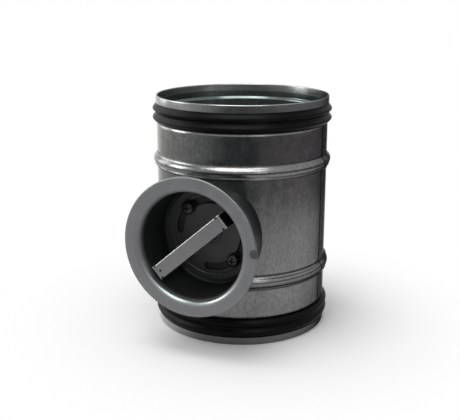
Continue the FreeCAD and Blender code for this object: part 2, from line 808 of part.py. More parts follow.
def make_rivet_nut(name, turn):
    body = new_body(name)
    bore = S.screw_radius + S.pin_gap
    back = cup_floor - S.nut_length
    collar = cup_floor - S.nut_collar
    path = Path(bore, back).line(S.nut_radius, back).line(S.nut_radius, collar)
    path.line(S.nut_bulge, collar + S.nut_collar / 2).line(S.nut_bulge, cup_floor)
    path.line(S.nut_radius, cup_floor).line(S.nut_radius, floor_front)
    path.line(S.nut_flange, floor_front).line(S.nut_flange, pad_front)
    path.line(bore, pad_front)
    turned(body, "section", path)
    place_on_lock_circle(body, turn)
    return body


def place_on_lock_circle(body, turn):
    across, up = lock_point(lock_circle, S.lock_angle)
    place_in_front(body, 0, across * turn, up * turn)


def cross_recess(body, front):
    """Two crossing slots in a screw's head."""
    for number, (wide, high) in enumerate(
        ((S.cross_length, S.cross_width), (S.cross_width, S.cross_length)), start=1
    ):
        sketch = new_sketch(body, f"cross_{number}", "XY", front)
        draw(sketch, rectangle(-wide / 2, -high / 2, wide / 2, high / 2))
        pocket(body, f"cross_{number}", sketch, S.cross_depth)


def add_pan_screw(body, seat, tail):
    """A pan head screw with its head on the seat."""
    top = seat + S.screw_head_height
    path = Path(0, seat - tail).line(S.screw_radius, seat - tail)
    path.line(S.screw_radius, seat).line(S.screw_head, seat)
    path.line(S.screw_head, top - S.screw_head_round)
    path.arc(S.screw_head - S.screw_head_round, top, S.screw_head_round, LEFT)
    path.line(0, top)
    turned(body, "section", path)
    cross_recess(body, top)


def make_lock_screw(name, turn):
    body = new_body(name)
    add_pan_screw(body, washer_front, S.screw_length)
    place_on_lock_circle(body, turn)
    return body


def add_washer(body, radius, back, front):
    bore = S.screw_radius + S.pin_gap
    path = Path(bore, back).line(radius, back).line(radius, front).line(bore, front)
    turned(body, "section", path)


def make_lock_washer(name, turn):
    body = new_body(name)
    add_washer(body, S.washer_radius, washer_back, washer_front)
    place_on_lock_circle(body, turn)
    return body


# The dial: a slotted disc that turns with the shaft and the handle


def slot_path():
    half = S.swing + S.slot_room
    start = size_of(RIGHT_ANGLE) - half
    stop = size_of(RIGHT_ANGLE) + half
    end = S.slot_width / 2
    outer = lock_circle + end
    inner = lock_circle - end
    first_x, first_y = lock_point(lock_circle, start)
    last_x, last_y = lock_point(lock_circle, stop)
    path = Path(*lock_point(outer, start))
    path.arc(*lock_point(outer, stop), outer, LEFT)
    path.arc(last_x - end * sine(stop), last_y + end * cosine(stop), end, LEFT)
    path.arc(*lock_point(inner, stop), end, LEFT)
    path.arc(*lock_point(inner, start), inner, RIGHT)
    path.arc(first_x + end * sine(start), first_y - end * cosine(start), end, LEFT)
    return path.close_arc(end, LEFT)


def dial_section():
    rim = dial_radius - S.dial_sheet
    low = dial_back - S.dial_rim
    ring_in = ring_radius - S.ring_width / 2
    ring_out = ring_radius + S.ring_width / 2
    path = Path(0, dial_back).line(rim, dial_back).line(rim, low)
    path.line(dial_radius, low).line(dial_radius, dial_front - S.dial_round)
    path.arc(dial_radius - S.dial_round, dial_front, S.dial_round, LEFT)
    path.line(ring_out, dial_front).line(ring_out - S.ring_depth, dial_front - S.ring_depth)
    path.line(ring_in + S.ring_depth, dial_front - S.ring_depth).line(ring_in, dial_front)
    path.line(0, dial_front)
    return path


def make_dial_disc():
    body = new_body("dial_disc")
    turned(body, "section", dial_section())
    sketch = new_sketch(body, "slot", "XY", dial_front)
    draw(sketch, slot_path())
    slot = pocket(body, "slot", sketch, S.dial_sheet * 2)
    opposite_pair(body, "slots", slot)
    sketch = new_sketch(body, "square", "XY", dial_front)
    half = S.drive_square / 2 + S.pin_gap
    draw(sketch, rectangle(-half, -half, half, half))
    pocket(body, "square", sketch, S.dial_sheet * 2)
    sketch = new_sketch(body, "rivet_hole", "XY", dial_front)
    draw_circle(sketch, S.foot_rivet + S.pin_gap, foot_rivet_place)
    hole = pocket(body, "rivet_hole", sketch, S.dial_sheet * 2)
    opposite_pair(body, "rivet_holes", hole)
    place_in_front(body, S.rest_angle.number)
    return body


# The handle: one strap of sheet with folded sides, two legs and two feet riveted to the dial


def strap_side():
    """Half the strap's side view, from the middle of the bar out and down to the foot."""
    half = S.bar_length / 2
    inside = S.bar_bend - S.bar_sheet
    outer = Path(0, flange_front).line(half - S.bar_bend, flange_front)
    outer.arc(half, flange_front - S.bar_bend, S.bar_bend, RIGHT)
    outer.line(half, dial_front + S.bar_bend)
    outer.arc(half - S.bar_bend, dial_front, S.bar_bend, RIGHT)
    outer.line(half - S.foot_length, dial_front)
    inner = Path(0, flange_front - S.bar_sheet)
    inner.line(half - S.bar_bend, flange_front - S.bar_sheet)
    inner.arc(half - S.bar_sheet, flange_front - S.bar_bend, inside, RIGHT)
    inner.line(half - S.bar_sheet, dial_front + S.bar_bend)
    inner.arc(half - S.bar_bend, dial_front + S.bar_sheet, inside, RIGHT)
    inner.line(half - S.foot_length, dial_front + S.bar_sheet)
    return outer.joined_to(inner)


def make_handle_bar():
    body = new_body("handle_bar")
    half = S.bar_length / 2
    side = S.bar_width / 2
    sketch = new_sketch(body, "strap", "XZ")
    draw(sketch, strap_side())
    pad(body, "strap", sketch, S.bar_width, symmetric=True)
    sketch = new_sketch(body, "folds", "XY", flange_front - S.bar_fold)
    reach = half - S.bar_bend - S.relief_length
    draw(sketch, rectangle(0, side - S.bar_sheet, reach, side))
    draw(sketch, rectangle(0, -side, reach, -side + S.bar_sheet))
    pad(body, "folds", sketch, S.bar_fold)
    sketch = new_sketch(body, "relief", "XY", flange_front)
    inner_side = side - S.relief_depth
    draw(sketch, rectangle(reach, inner_side, reach + S.relief_length, S.bar_width))
    draw(sketch, rectangle(reach, -S.bar_width, reach + S.relief_length, -inner_side))
    pocket(body, "relief", sketch, S.bar_sheet * 2)
    sketch = new_sketch(body, "rivet_hole", "XY", dial_front)
    draw_circle(sketch, S.foot_rivet + S.pin_gap, foot_rivet_place)
    pocket(body, "rivet_hole", sketch, S.bar_sheet * 2, symmetric=True)

    def folded_edge(edge):
        box = edge.BoundBox
        on_side = abs(abs(box.YMin) - side.number) + box.YLength < SAME_PLACE
        on_front = box.ZMin > flange_front.number - SAME_PLACE
        return on_side and on_front and box.XLength > half.number / 2

    round_edges(body, "fold_edges", S.fold_round, folded_edge)
    document.recompute()
    mirrored = body.newObject("PartDesign::Mirrored", "handle_bar_other_half")
    mirrored.TransformMode = "Whole shape"
    mirrored.MirrorPlane = origin_link(body, "YZ_Plane")
    body.Tip = mirrored
    sketch = new_sketch(body, "peep", "XY", flange_front)
    draw_circle(sketch, S.peep_radius, S.peep_inset - half)
    pocket(body, "peep", sketch, S.bar_sheet * 2)
    place_in_front(body, S.rest_angle.number)
    return body


def make_handle_rivets():
    body = new_body("handle_rivets")
    radius = S.foot_rivet
    head, height, dome = rivet_dome(radius)
    centre = foot_rivet_place
    seat = dial_front + S.bar_sheet
    path = Path(centre, dial_back - S.run_gap).line(centre + radius, dial_back - S.run_gap)
    path.line(centre + radius, seat).line(centre + head, seat)
    path.arc(centre, seat + height, dome, LEFT)
    rivet = turned(body, "rivet", path, centre=centre)
    opposite_pair(body, "rivets", rivet)
    place_in_front(body, S.rest_angle.number)
    return body


def make_hub_screw():
    body = new_body("hub_screw")
    add_pan_screw(body, dial_front + S.washer_sheet, S.hub_hole_depth)
    place_in_front(body, S.rest_angle.number)
    return body


def make_hub_washer():
    body = new_body("hub_washer")
    add_washer(body, S.hub_washer_radius, dial_front, dial_front + S.washer_sheet)
    place_in_front(body, S.rest_angle.number)
    return body


# The shaft, with a square end for the dial, and the blade that it carries across the duct


def make_blade_shaft():
    body = new_body("blade_shaft")
    tail = -shaft_end
    groove_back = -clip_end - S.pin_gap
    groove_front = -clip_start + S.pin_gap
    path = Path(0, tail).line(S.shaft_radius - S.shaft_tail / 2, tail)
    path.line(S.shaft_radius, tail + S.shaft_tail / 2)
    path.line(S.shaft_radius, groove_back).line(S.clip_groove, groove_back)
    path.line(S.clip_groove, groove_front).line(S.shaft_radius, groove_front)
    front = dial_front - S.pin_gap
    path.line(S.shaft_radius, front).line(0, front)
    turned(body, "round", path)
    sketch = new_sketch(body, "square", "XY", dial_back)
    half = S.drive_square / 2
    draw(sketch, rectangle(-half, -half, half, half))
    draw_circle(sketch, S.shaft_radius * 2)
    pocket(body, "square", sketch, reverse=True)
    sketch = new_sketch(body, "thread", "XY", dial_front)
    draw_circle(sketch, S.screw_radius + S.pin_gap)
    pocket(body, "thread", sketch, S.hub_hole_depth)
    sketch = new_sketch(body, "rivet_holes", "XZ")
    for side in (LEFT, RIGHT):
        place = S.shaft_rivet_pitch / 2 * side
        draw_circle(sketch, S.shaft_rivet + S.pin_gap, 0, place)
    pocket(body, "rivet_holes", sketch, symmetric=True)
    place_in_front(body, S.rest_angle.number)
    return body


def blade_outline(radius, edge):
    """The blade as seen along the duct: a circle with one straight edge at the cup."""
    reach = chord_reach(radius, edge)
    path = Path(reach, edge).line(-reach, edge)
    path.arc(-radius, 0, radius, LEFT).arc(0, -radius, radius, LEFT)
    path.arc(radius, 0, radius, LEFT).close_arc(radius, LEFT)
    return path


def draw_blade_holes(sketch):
    """The places of the rivets that hold the blade's plates together."""
    for side in (LEFT, RIGHT):
        for step in (-1, 0, 1):
            radius = S.blade_rivet + S.pin_gap
            draw_circle(sketch, radius, rivet_column * side, rivet_pitch * step)


def make_blade_plate(name, turn):
    """A plate with a half-round channel pressed in it for the shaft."""
    body = new_body(name)
    near = S.blade_web / 2
    far = near + S.blade_sheet
    crown = channel_bore + S.blade_sheet
    wide = S.duct_radius
    inner_foot = chord_reach(channel_bore, near)
    outer_foot = chord_reach(crown, far)
    path = Path(-wide, near).line(-inner_foot, near)
    path.arc(inner_foot, near, channel_bore, RIGHT)
    path.line(wide, near).line(wide, far).line(outer_foot, far)
    path.arc(-outer_foot, far, crown, LEFT)
    path.line(-wide, far)
    sketch = new_sketch(body, "section", "XY")
    draw(sketch, path)
    pad(body, "section", sketch, S.duct_radius * 2, symmetric=True)
    sketch = new_sketch(body, "outline", "XZ")
    draw(sketch, rectangle(-wide * 2, -wide * 2, wide * 2, wide * 2))
    draw(sketch, blade_outline(plate_radius, plate_edge))
    pocket(body, "outline", sketch, symmetric=True)
    sketch = new_sketch(body, "rivet_holes", "XZ")
    draw_blade_holes(sketch)
    for side in (LEFT, RIGHT):
        place = S.shaft_rivet_pitch / 2 * side
        draw_circle(sketch, S.shaft_rivet + S.pin_gap, 0, place)
    pocket(body, "rivet_holes", sketch, symmetric=True)
    place_in_front(body, S.rest_angle.number + turn)
    return body


def make_blade_seal():
    """The rubber edge in two lengths, which stop either side of the shaft."""
    body = new_body("blade_seal")
    depth = S.rubber_inset
    sketch = new_sketch(body, "web", "XZ")
    draw(sketch, blade_outline(plate_radius + S.seat_gap * 2, plate_edge + S.seat_gap * 2))
    draw(sketch, blade_outline(plate_radius - depth, plate_edge - depth))
    pad(body, "web", sketch, S.blade_web - S.pin_gap * 2, symmetric=True)
    sketch = new_sketch(body, "lip", "XZ")
    draw(sketch, blade_outline(blade_radius, blade_edge))
    draw(sketch, blade_outline(plate_radius + S.seat_gap, plate_edge + S.seat_gap))
    pad(body, "lip", sketch, S.lip_thickness, symmetric=True)
    sketch = new_sketch(body, "shaft_room", "XZ")
    half = bush_radius + S.blade_gap
    wide = S.duct_radius
    draw(sketch, rectangle(-half, -wide, half, wide))
    pocket(body, "shaft_room", sketch, symmetric=True)
    sketch = new_sketch(body, "rivet_holes", "XZ")
    draw_blade_holes(sketch)
    pocket(body, "rivet_holes", sketch, symmetric=True)
    place_in_front(body, S.rest_angle.number)
    return body


def make_blade_rivets():
    body = new_body("blade_rivets")
    half = S.blade_web / 2 + S.blade_sheet
    rivet = add_rivet(body, S.blade_rivet, rivet_column, -half, half, "XY", -rivet_pitch)
    rows = body.newObject("PartDesign::MultiTransform", "blade_rivets_rows")
    rows.Originals = [rivet]
    along = body.newObject("PartDesign::LinearPattern", "blade_rivets_along")
    along.Direction = origin_link(body, "Z_Axis")
    along.setExpression("Length", (rivet_pitch * 2).formula)
    along.Occurrences = RIVET_ROW_COUNT
    across = body.newObject("PartDesign::Mirrored", "blade_rivets_across")
    across.MirrorPlane = origin_link(body, "YZ_Plane")
    rows.Transformations = [along, across]
    body.Tip = rows
    place_in_front(body, S.rest_angle.number)
    return body


def make_shaft_rivets():
    body = new_body("shaft_rivets")
    crown = channel_bore + S.blade_sheet
    lift = -S.shaft_rivet_pitch / 2
    rivet = add_rivet(body, S.shaft_rivet, size_of(0), -crown, crown, "XY", lift)
    pair = body.newObject("PartDesign::Mirrored", "shaft_rivets_pair")
    pair.Originals = [rivet]
    pair.MirrorPlane = origin_link(body, "XY_Plane")
    body.Tip = pair
    place_in_front(body, S.rest_angle.number)
    return body


bodies = [
    make_duct_body(),
    make_seal("lower_lip_seal", same_end, LEFT),
    make_seal("upper_lip_seal", other_end, RIGHT),
    make_handle_cup(),
    make_front_bush(),
    make_rear_gasket(),
    make_rear_bush(),
    make_shaft_ring(),
    make_rear_rivets(),
    make_rear_cap(),
    make_shaft_clip(),
    make_rivet_nut("rivet_nut_upper", LEFT),
    make_rivet_nut("rivet_nut_lower", RIGHT),
    make_lock_screw("lock_screw_upper", LEFT),
    make_lock_screw("lock_screw_lower", RIGHT),
    make_lock_washer("lock_washer_upper", LEFT),
    make_lock_washer("lock_washer_lower", RIGHT),
    make_dial_disc(),
    make_handle_bar(),
    make_handle_rivets(),
    make_hub_screw(),
    make_hub_washer(),
    make_blade_shaft(),
    make_blade_plate("blade_plate_upper", 0),
    make_blade_plate("blade_plate_lower", 180),
    make_blade_seal(),
    make_blade_rivets(),
    make_shaft_rivets(),
]
document.recompute()


def check_document():
    """Stop if a feature failed, a cut took nothing away or a piece isn't sound."""
    for item in document.Objects:
        if "Invalid" in item.State or "Error" in item.State:
            raise RuntimeError(f"{item.Name} failed: {item.State}")
        if item.TypeId in ("PartDesign::Pocket", "PartDesign::Groove"):
            if item.Shape.Volume > item.BaseFeature.Shape.Volume - SMALLEST_CUT:
                raise RuntimeError(f"{item.Name} cuts nothing")
    for body in bodies:
        if body.Shape.isNull() or not body.Shape.isValid():
            raise RuntimeError(f"{body.Label} has no sound shape")


check_document()
os.makedirs("parts", exist_ok=True)
for body in bodies:
    body.Shape.exportStep(f"parts/{body.Label}.step")
print(f"{len(bodies)} pieces exported")
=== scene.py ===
# %% [markdown]
# # A round duct damper with a hand-set blade
# The object is a short galvanised duct that stands on end. A blade inside it turns on a cross
# shaft, and a handle in a deep round cup sets the blade by hand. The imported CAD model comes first
# and gives every place and size, so the pieces made here land on it with no fitting. Each of them
# rides on the CAD body that carries it, so that it turns when the blade or a screw turns.
#
# Lengths on the object are written in millimetres, as on a drawing, and are multiplied by MM where
# Blender reads them, because Blender and the frame work in metres. The camera and the studio are
# given in metres.

# %% Load the frame
import json
import math

import bmesh
import bpy
from mathutils import Matrix, Vector


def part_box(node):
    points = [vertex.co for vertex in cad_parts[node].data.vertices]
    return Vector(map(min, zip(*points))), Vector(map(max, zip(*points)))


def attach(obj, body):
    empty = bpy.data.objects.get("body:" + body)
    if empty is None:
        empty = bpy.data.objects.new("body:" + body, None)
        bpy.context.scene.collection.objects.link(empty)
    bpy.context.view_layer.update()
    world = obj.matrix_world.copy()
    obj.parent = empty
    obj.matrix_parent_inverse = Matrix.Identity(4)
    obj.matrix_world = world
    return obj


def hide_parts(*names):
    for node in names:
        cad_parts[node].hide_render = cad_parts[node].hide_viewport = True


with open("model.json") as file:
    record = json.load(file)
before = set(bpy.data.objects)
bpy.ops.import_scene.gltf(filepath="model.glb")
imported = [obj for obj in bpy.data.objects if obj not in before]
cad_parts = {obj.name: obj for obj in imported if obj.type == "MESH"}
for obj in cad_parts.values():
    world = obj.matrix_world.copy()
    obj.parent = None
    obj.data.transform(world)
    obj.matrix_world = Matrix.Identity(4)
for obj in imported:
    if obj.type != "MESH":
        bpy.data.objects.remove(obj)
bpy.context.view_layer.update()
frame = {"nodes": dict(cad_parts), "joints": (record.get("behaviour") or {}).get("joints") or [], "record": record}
MM = 0.001
JOINTS = {joint["name"]: joint for joint in frame["joints"]}

# %% [markdown]
# ## Places that the frame gives
# Two places are used again and again: the duct's own axis, which is the world's Z, and the axis of
# the shaft, which runs out of the cup's mouth along -Y. A matrix that stands a piece on the second
# axis lets every cup piece be drawn upright first, which is easier to think about. The lower limit
# of the blade's joint is where the handle lies level, so it also gives the handle's angle at rest.

# %% The two axes
DUCT_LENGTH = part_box("duct_body")[1].z / MM
SHAFT = Vector(JOINTS["blade_turn"]["pos_m"])
HANDLE_ANGLE = math.radians(-JOINTS["blade_turn"]["range_deg"][0])
CUP_PLACE = Matrix.Translation(SHAFT) @ Matrix.Rotation(math.pi / 2, 4, "X")
HANDLE_PLACE = CUP_PLACE @ Matrix.Rotation(HANDLE_ANGLE, 4, "Z")


def depth_range(node):
    """How far a node reaches out along the cup's axis, back and front, in millimetres."""
    low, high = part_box(node)
    return -high.y / MM, -low.y / MM


print(f"shaft {SHAFT.z / MM:.1f} mm up, handle at {math.degrees(HANDLE_ANGLE):.0f} degrees")

# %% [markdown]
# ## The camera
# The photograph's viewpoint was worked out from its ellipses: rims, beads and seal grooves are all
# circles of known height. A camera that makes the same ellipses stands 0.58 m from the duct's
# axis. It could be set by eye instead, but a rim that is a degree too open spoils every later
# comparison.

# %% The camera
CAMERA_REACH = 0.5796
CAMERA_HEIGHT = 0.2419
CAMERA_AZIMUTH = 22.3
CAMERA_PITCH = 15.44
CAMERA_YAW = 0.88
LENS = 62.08
SENSOR = 36.0


def add_object(name, data):
    """A new object in the scene that shows this mesh, lamp or camera."""
    thing = bpy.data.objects.new(name, data)
    bpy.context.scene.collection.objects.link(thing)
    return thing


def make_camera():
    """A camera where the photograph's stood. It looks a little past the duct's axis."""
    data = bpy.data.cameras.new("camera")
    data.lens = LENS
    data.sensor_width = SENSOR
    camera = add_object("camera", data)
    azimuth = math.radians(CAMERA_AZIMUTH)
    camera.location = (
        CAMERA_REACH * math.sin(azimuth),
        -CAMERA_REACH * math.cos(azimuth),
        CAMERA_HEIGHT,
    )
    camera.rotation_euler = (
        math.radians(90 - CAMERA_PITCH),
        0,
        azimuth + math.radians(CAMERA_YAW),
    )
    bpy.context.scene.camera = camera


make_camera()
print(f"camera {CAMERA_REACH:.2f} m from the axis, with a lens of {LENS:.0f} mm")

# %% [markdown]
# ## Small helpers for node trees
# Geometry Nodes and materials are both trees of nodes. Adding a node, setting its options and
# joining its sockets takes many lines in plain bpy, so one function does the three together: an
# input that is given another node's socket is linked to it, and any other value is written in.
# Sums, vectors and coordinates are common enough to have short functions of their own.

# %% Helpers for node trees


def add_node(tree, kind, inputs=None, **options):
    """A new node, with options set first because they change which sockets it has."""
    node = tree.nodes.new(kind)
    for name, value in options.items():
        setattr(node, name, value)
    for key, value in (inputs or {}).items():
        socket = pick(node.inputs, key)
        if isinstance(value, bpy.types.NodeSocket):
            tree.links.new(value, socket)
        else:
            socket.default_value = value
    return node


def pick(sockets, key):
    """The socket with this number, or the first usable one with this name."""
    if isinstance(key, int):
        return sockets[key]
    return next(socket for socket in sockets if socket.name == key and socket.enabled)


def sum_of(tree, operation, *values):
    """One step of arithmetic on numbers or sockets."""
    node = add_node(tree, "ShaderNodeMath", dict(enumerate(values)), operation=operation)
    return node.outputs[0]


def blend_of(tree, start, *parts):
    """Patterns added to a start value, each with its own share."""
    total = start
    for pattern, share in parts:
        total = sum_of(tree, "MULTIPLY_ADD", pattern, share, total)
    return total


def vector_of(tree, operation, *values, **named):
    """One step of vector arithmetic."""
    inputs = {**dict(enumerate(values)), **named}
    return add_node(tree, "ShaderNodeVectorMath", inputs, operation=operation).outputs[0]


def measure_of(tree, operation, *vectors):
    """One number from vectors: a length, a distance or a dot product."""
    node = add_node(tree, "ShaderNodeVectorMath", dict(enumerate(vectors)), operation=operation)
    return node.outputs["Value"]


def axes_of(tree, place):
    """A place's three coordinates, under X, Y and Z."""
    return add_node(tree, "ShaderNodeSeparateXYZ", {0: place}).outputs


# %% [markdown]
# ## Growing a piece
# A tree of Geometry Nodes needs an object to run on. The function below lends it an empty one,
# writes the tree's inputs by their identifiers, takes the result as a plain mesh and drops the
# modifier, so that what is left is an ordinary piece. Applying the modifier by hand would do the
# same, but only for one piece at a time.

# %% Trees in, plain meshes out
SHARP_ANGLE = math.radians(35)


def new_tree(name, inputs):
    """A Geometry Nodes tree with named inputs, and its input and output nodes."""
    tree = bpy.data.node_groups.new(name, "GeometryNodeTree")
    face = tree.interface
    for label, kind, value in inputs:
        socket = face.new_socket(label, in_out="INPUT", socket_type=f"NodeSocket{kind}")
        if value is not None:
            socket.default_value = value
    face.new_socket("Geometry", in_out="OUTPUT", socket_type="NodeSocketGeometry")
    return tree, tree.nodes.new("NodeGroupInput").outputs, tree.nodes.new("NodeGroupOutput")


def close_tree(tree, result, material, ending):
    """Smooth the faces, realise the instances and set the material."""
    smooth = add_node(tree, "GeometryNodeSetShadeSmooth", {0: result})
    real = add_node(tree, "GeometryNodeRealizeInstances", {0: smooth.outputs[0]})
    painted = add_node(
        tree, "GeometryNodeSetMaterial", {"Geometry": real.outputs[0], "Material": material}
    )
    tree.links.new(painted.outputs[0], ending.inputs[0])


def plain_mesh(carrier):
    """The object's evaluated mesh, as an ordinary mesh with no modifier behind it."""
    bpy.context.view_layer.update()
    graph = bpy.context.evaluated_depsgraph_get()
    mesh = bpy.data.meshes.new_from_object(carrier.evaluated_get(graph))
    carrier.modifiers.clear()
    carrier.data = mesh
    return mesh


def grow(name, tree, values, place=None):
    """Run a tree with these input values and keep the result as a plain mesh piece."""
    carrier = add_object(name, bpy.data.meshes.new(name))
    modifier = carrier.modifiers.new("grow", "NODES")
    modifier.node_group = tree
    for item in tree.interface.items_tree:
        if item.in_out == "INPUT" and item.name in values:
            modifier[item.identifier] = values[item.name]
    mesh = plain_mesh(carrier)
    face_out(mesh)
    one_material(mesh)
    if place is not None:
        mesh.transform(place)
    mesh.set_sharp_from_angle(angle=SHARP_ANGLE)
    print(f"{name}: {len(mesh.polygons)} faces")
    return carrier


def face_out(mesh):
    """Turn every face outwards."""
    shell = bmesh.new()
    shell.from_mesh(mesh)
    bmesh.ops.recalc_face_normals(shell, faces=shell.faces)
    shell.to_mesh(mesh)
    shell.free()


def one_material(mesh):
    """Keep the piece's one material and drop the empty slots that its parts brought along."""
    named = [material for material in mesh.materials if material]
    mesh.materials.clear()
    for material in named[:1]:
        mesh.materials.append(material)
    mesh.polygons.foreach_set("material_index", [0] * len(mesh.polygons))


def settle(piece, body, slot, *nodes):
    """Say which body carries a piece and which nodes it stands for. The finish slot is not used."""
    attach(piece, body)
    if nodes:
        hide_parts(*nodes)

# %% [markdown]
# ## Patterns that several finishes share
# Sheet metal shows a few things at once: a crystal pattern in the zinc, fine lines from the rollers
# and dull handling marks. Each of these is a node group that puts out a plain mask, so that a
# material can use it at its own strength. Copying the nodes into every material would work too, but
# then a change of one pattern would have to be made many times.

# %% Shared node groups


def shader_group(name, inputs):
    """A shader group with named inputs, one mask as its output, and the object's own places."""
    group = bpy.data.node_groups.new(name, "ShaderNodeTree")
    for label, kind, value in inputs:
        socket = group.interface.new_socket(
            label, in_out="INPUT", socket_type=f"NodeSocket{kind}"
        )
        socket.default_value = value
    group.interface.new_socket("Mask", in_out="OUTPUT", socket_type="NodeSocketFloat")
    given = group.nodes.new("NodeGroupInput").outputs
    place = add_node(group, "ShaderNodeTexCoord").outputs["Object"]
    return group, given, place, group.nodes.new("NodeGroupOutput").inputs["Mask"]


def noise_of(tree, vector, scale, detail, roughness=0.5):
    """Soft noise, with this many waves to the metre."""
    inputs = {"Vector": vector, "Scale": scale, "Detail": detail, "Roughness": roughness}
    return add_node(tree, "ShaderNodeTexNoise", inputs).outputs[0]


def step_of(tree, value, start, stop):
    """A soft step from 0 to 1 as the value goes from start to stop."""
    inputs = {"Value": value, "From Min": start, "From Max": stop}
    return add_node(
        tree, "ShaderNodeMapRange", inputs, interpolation_type="SMOOTHSTEP"
    ).outputs[0]


def step_mm(tree, length, start, stop):
    """The same for a length, with both ends in millimetres."""
    return step_of(tree, length, start * MM, stop * MM)


def make_spangle():
    """Soft crystals in the zinc, each a little lighter or darker than its neighbour."""
    group, given, place, result = shader_group("zinc_spangle", [("Size", "Float", 0.008)])
    bend = add_node(group, "ShaderNodeTexNoise", {"Vector": place, "Scale": 160.0})
    pushed = vector_of(group, "SCALE", bend.outputs["Color"], Scale=0.004)
    joined = vector_of(group, "ADD", place, pushed)
    per_metre = sum_of(group, "DIVIDE", 1.0, given["Size"])
    cells = add_node(
        group,
        "ShaderNodeTexVoronoi",
        {"Vector": joined, "Scale": per_metre, "Smoothness": 0.3},
        feature="SMOOTH_F1",
    )
    tone = add_node(group, "ShaderNodeSeparateColor", {0: cells.outputs["Color"]})
    group.links.new(tone.outputs[0], result)
    return group


def make_lines():
    """Fine lines left by rollers. Stretch says how they run out along each axis."""
    group, given, place, result = shader_group(
        "rolling_lines",
        [("Scale", "Float", 900.0), ("Stretch", "Vector", (0.04, 0.04, 1.0))],
    )
    spread = vector_of(group, "MULTIPLY", place, given["Stretch"])
    group.links.new(noise_of(group, spread, given["Scale"], 4.0, 0.65), result)
    return group


def make_marks():
    """Smudges and faint rubbing marks, in patches."""
    group, given, place, result = shader_group(
        "handling_marks", [("Scale", "Float", 30.0), ("Cover", "Float", 0.5)]
    )
    patches = noise_of(group, place, given["Scale"], 5.0, 0.6)
    group.links.new(step_of(group, patches, given["Cover"], 0.75), result)
    return group


SPANGLE = make_spangle()
LINES = make_lines()
MARKS = make_marks()
print("shared patterns:", ", ".join(group.name for group in (SPANGLE, LINES, MARKS)))

# %% [markdown]
# ### Masks that follow the cup
# The same sheet is painted darker the deeper it lies in the cup, as painted shade, carries faint
# circles from the press, and is glossier on the cup's outer wall. These masks are worked out from two
# lengths: how far a point lies from the cup's axis, and how far out along it. The outer wall is the
# hardest, because the sheet bends round the mouth, so the limit between inside and outside has to
# follow the middle of the sheet through that bend. Two materials on one mesh would do it too, but
# every piece here has one finish.

# %% Masks that follow the cup
CUP_SHEET = 0.8
CUP_WALL = 37.7
CUP_ROUND = 4.1
FLANGE_LEVEL = 92.1


def reach_from_shaft(tree, place):
    """How far a place lies from the shaft's axis, which is the cup's axis too."""
    flat = vector_of(tree, "MULTIPLY", vector_of(tree, "SUBTRACT", place, SHAFT), (1.0, 0.0, 1.0))
    return measure_of(tree, "LENGTH", flat)


def make_depth():
    """From 0 at the cup's mouth to 1 where the cup is deep and gets painted shade."""
    group, given, place, result = shader_group(
        "depth_in_the_cup", [("Mouth", "Float", -0.0915), ("Deep", "Float", -0.084)]
    )
    deep = step_of(group, axes_of(group, place)["Y"], given["Mouth"], given["Deep"])
    group.links.new(deep, result)
    return group


def make_outside():
    """1 on the cup's outer wall, behind the flange, and 0 inside it and on the flange.

    The sheet's middle line is at Radius, and from Start on it bends outwards by Bend.
    """
    inputs = [
        ("Radius", "Float", CUP_WALL * MM),
        ("Start", "Float", (FLANGE_LEVEL - CUP_ROUND) * MM),
        ("Bend", "Float", CUP_ROUND * MM),
    ]
    group, given, place, result = shader_group("outside_of_the_cup", inputs)
    depth = axes_of(group, place)["Y"]
    forward = sum_of(group, "SUBTRACT", sum_of(group, "MULTIPLY", depth, -1.0), given["Start"])
    forward = sum_of(group, "MAXIMUM", forward, 0.0)
    level = sum_of(group, "MULTIPLY", forward, forward)
    level = sum_of(group, "SUBTRACT", sum_of(group, "POWER", given["Bend"], 2.0), level)
    level = sum_of(group, "POWER", sum_of(group, "MAXIMUM", level, 0.0), 0.5)
    limit = sum_of(group, "ADD", given["Radius"], given["Bend"])
    limit = sum_of(group, "SUBTRACT", limit, level)
    beyond = sum_of(group, "GREATER_THAN", reach_from_shaft(group, place), limit)
    behind = step_mm(group, depth, -FLANGE_LEVEL - 0.1, -FLANGE_LEVEL + 0.6)
    group.links.new(sum_of(group, "MULTIPLY", beyond, behind), result)
    return group


def make_rings():
    """Faint circles about the cup's axis, left by the press."""
    group, given, place, result = shader_group("pressed_circles", [("Scale", "Float", 900.0)])
    lengths = {"X": reach_from_shaft(group, place), "Y": axes_of(group, place)["Y"]}
    round_place = add_node(group, "ShaderNodeCombineXYZ", lengths).outputs[0]
    group.links.new(noise_of(group, round_place, given["Scale"], 4.0, 0.6), result)
    return group


DEPTH = make_depth()
OUTSIDE = make_outside()
RINGS = make_rings()
print(f"the cup's wall is at {CUP_WALL} mm, its mouth bends out by {CUP_ROUND} mm")

# %% [markdown]
# ## Metal
# All metal here is a Principled shader whose colour, roughness and small bump follow the patterns.
# Zinc on the tube runs from dark grey-green to light grey, because rolling and handling dull it
# unevenly. The cup, the dial and the handle are a plainer, greyer sheet. A photograph used as a
# texture would look right from one side only, so the patterns are worked out in the piece's own
# space.

# %% Helpers for materials


def mask_of(tree, group, **inputs):
    """The mask that a shared group puts out with these values."""
    node = add_node(tree, "ShaderNodeGroup", node_tree=group)
    for name, value in inputs.items():
        node.inputs[name].default_value = value
    return node.outputs["Mask"]


def mix_colours(tree, mask, first, second):
    """The first colour where the mask is 0 and the second where it is 1."""
    node = add_node(tree, "ShaderNodeMix", data_type="RGBA")
    tree.links.new(mask, pick(node.inputs, "Factor"))
    for name, colour in (("A", first), ("B", second)):
        socket = pick(node.inputs, name)
        if isinstance(colour, bpy.types.NodeSocket):
            tree.links.new(colour, socket)
        else:
            socket.default_value = (*colour, 1.0)
    return pick(node.outputs, "Result")


def spread(tree, mask, low, high):
    """Turn a mask of 0 to 1 into numbers from low to high."""
    inputs = {"Value": mask, "To Min": low, "To Max": high}
    return add_node(tree, "ShaderNodeMapRange", inputs).outputs[0]


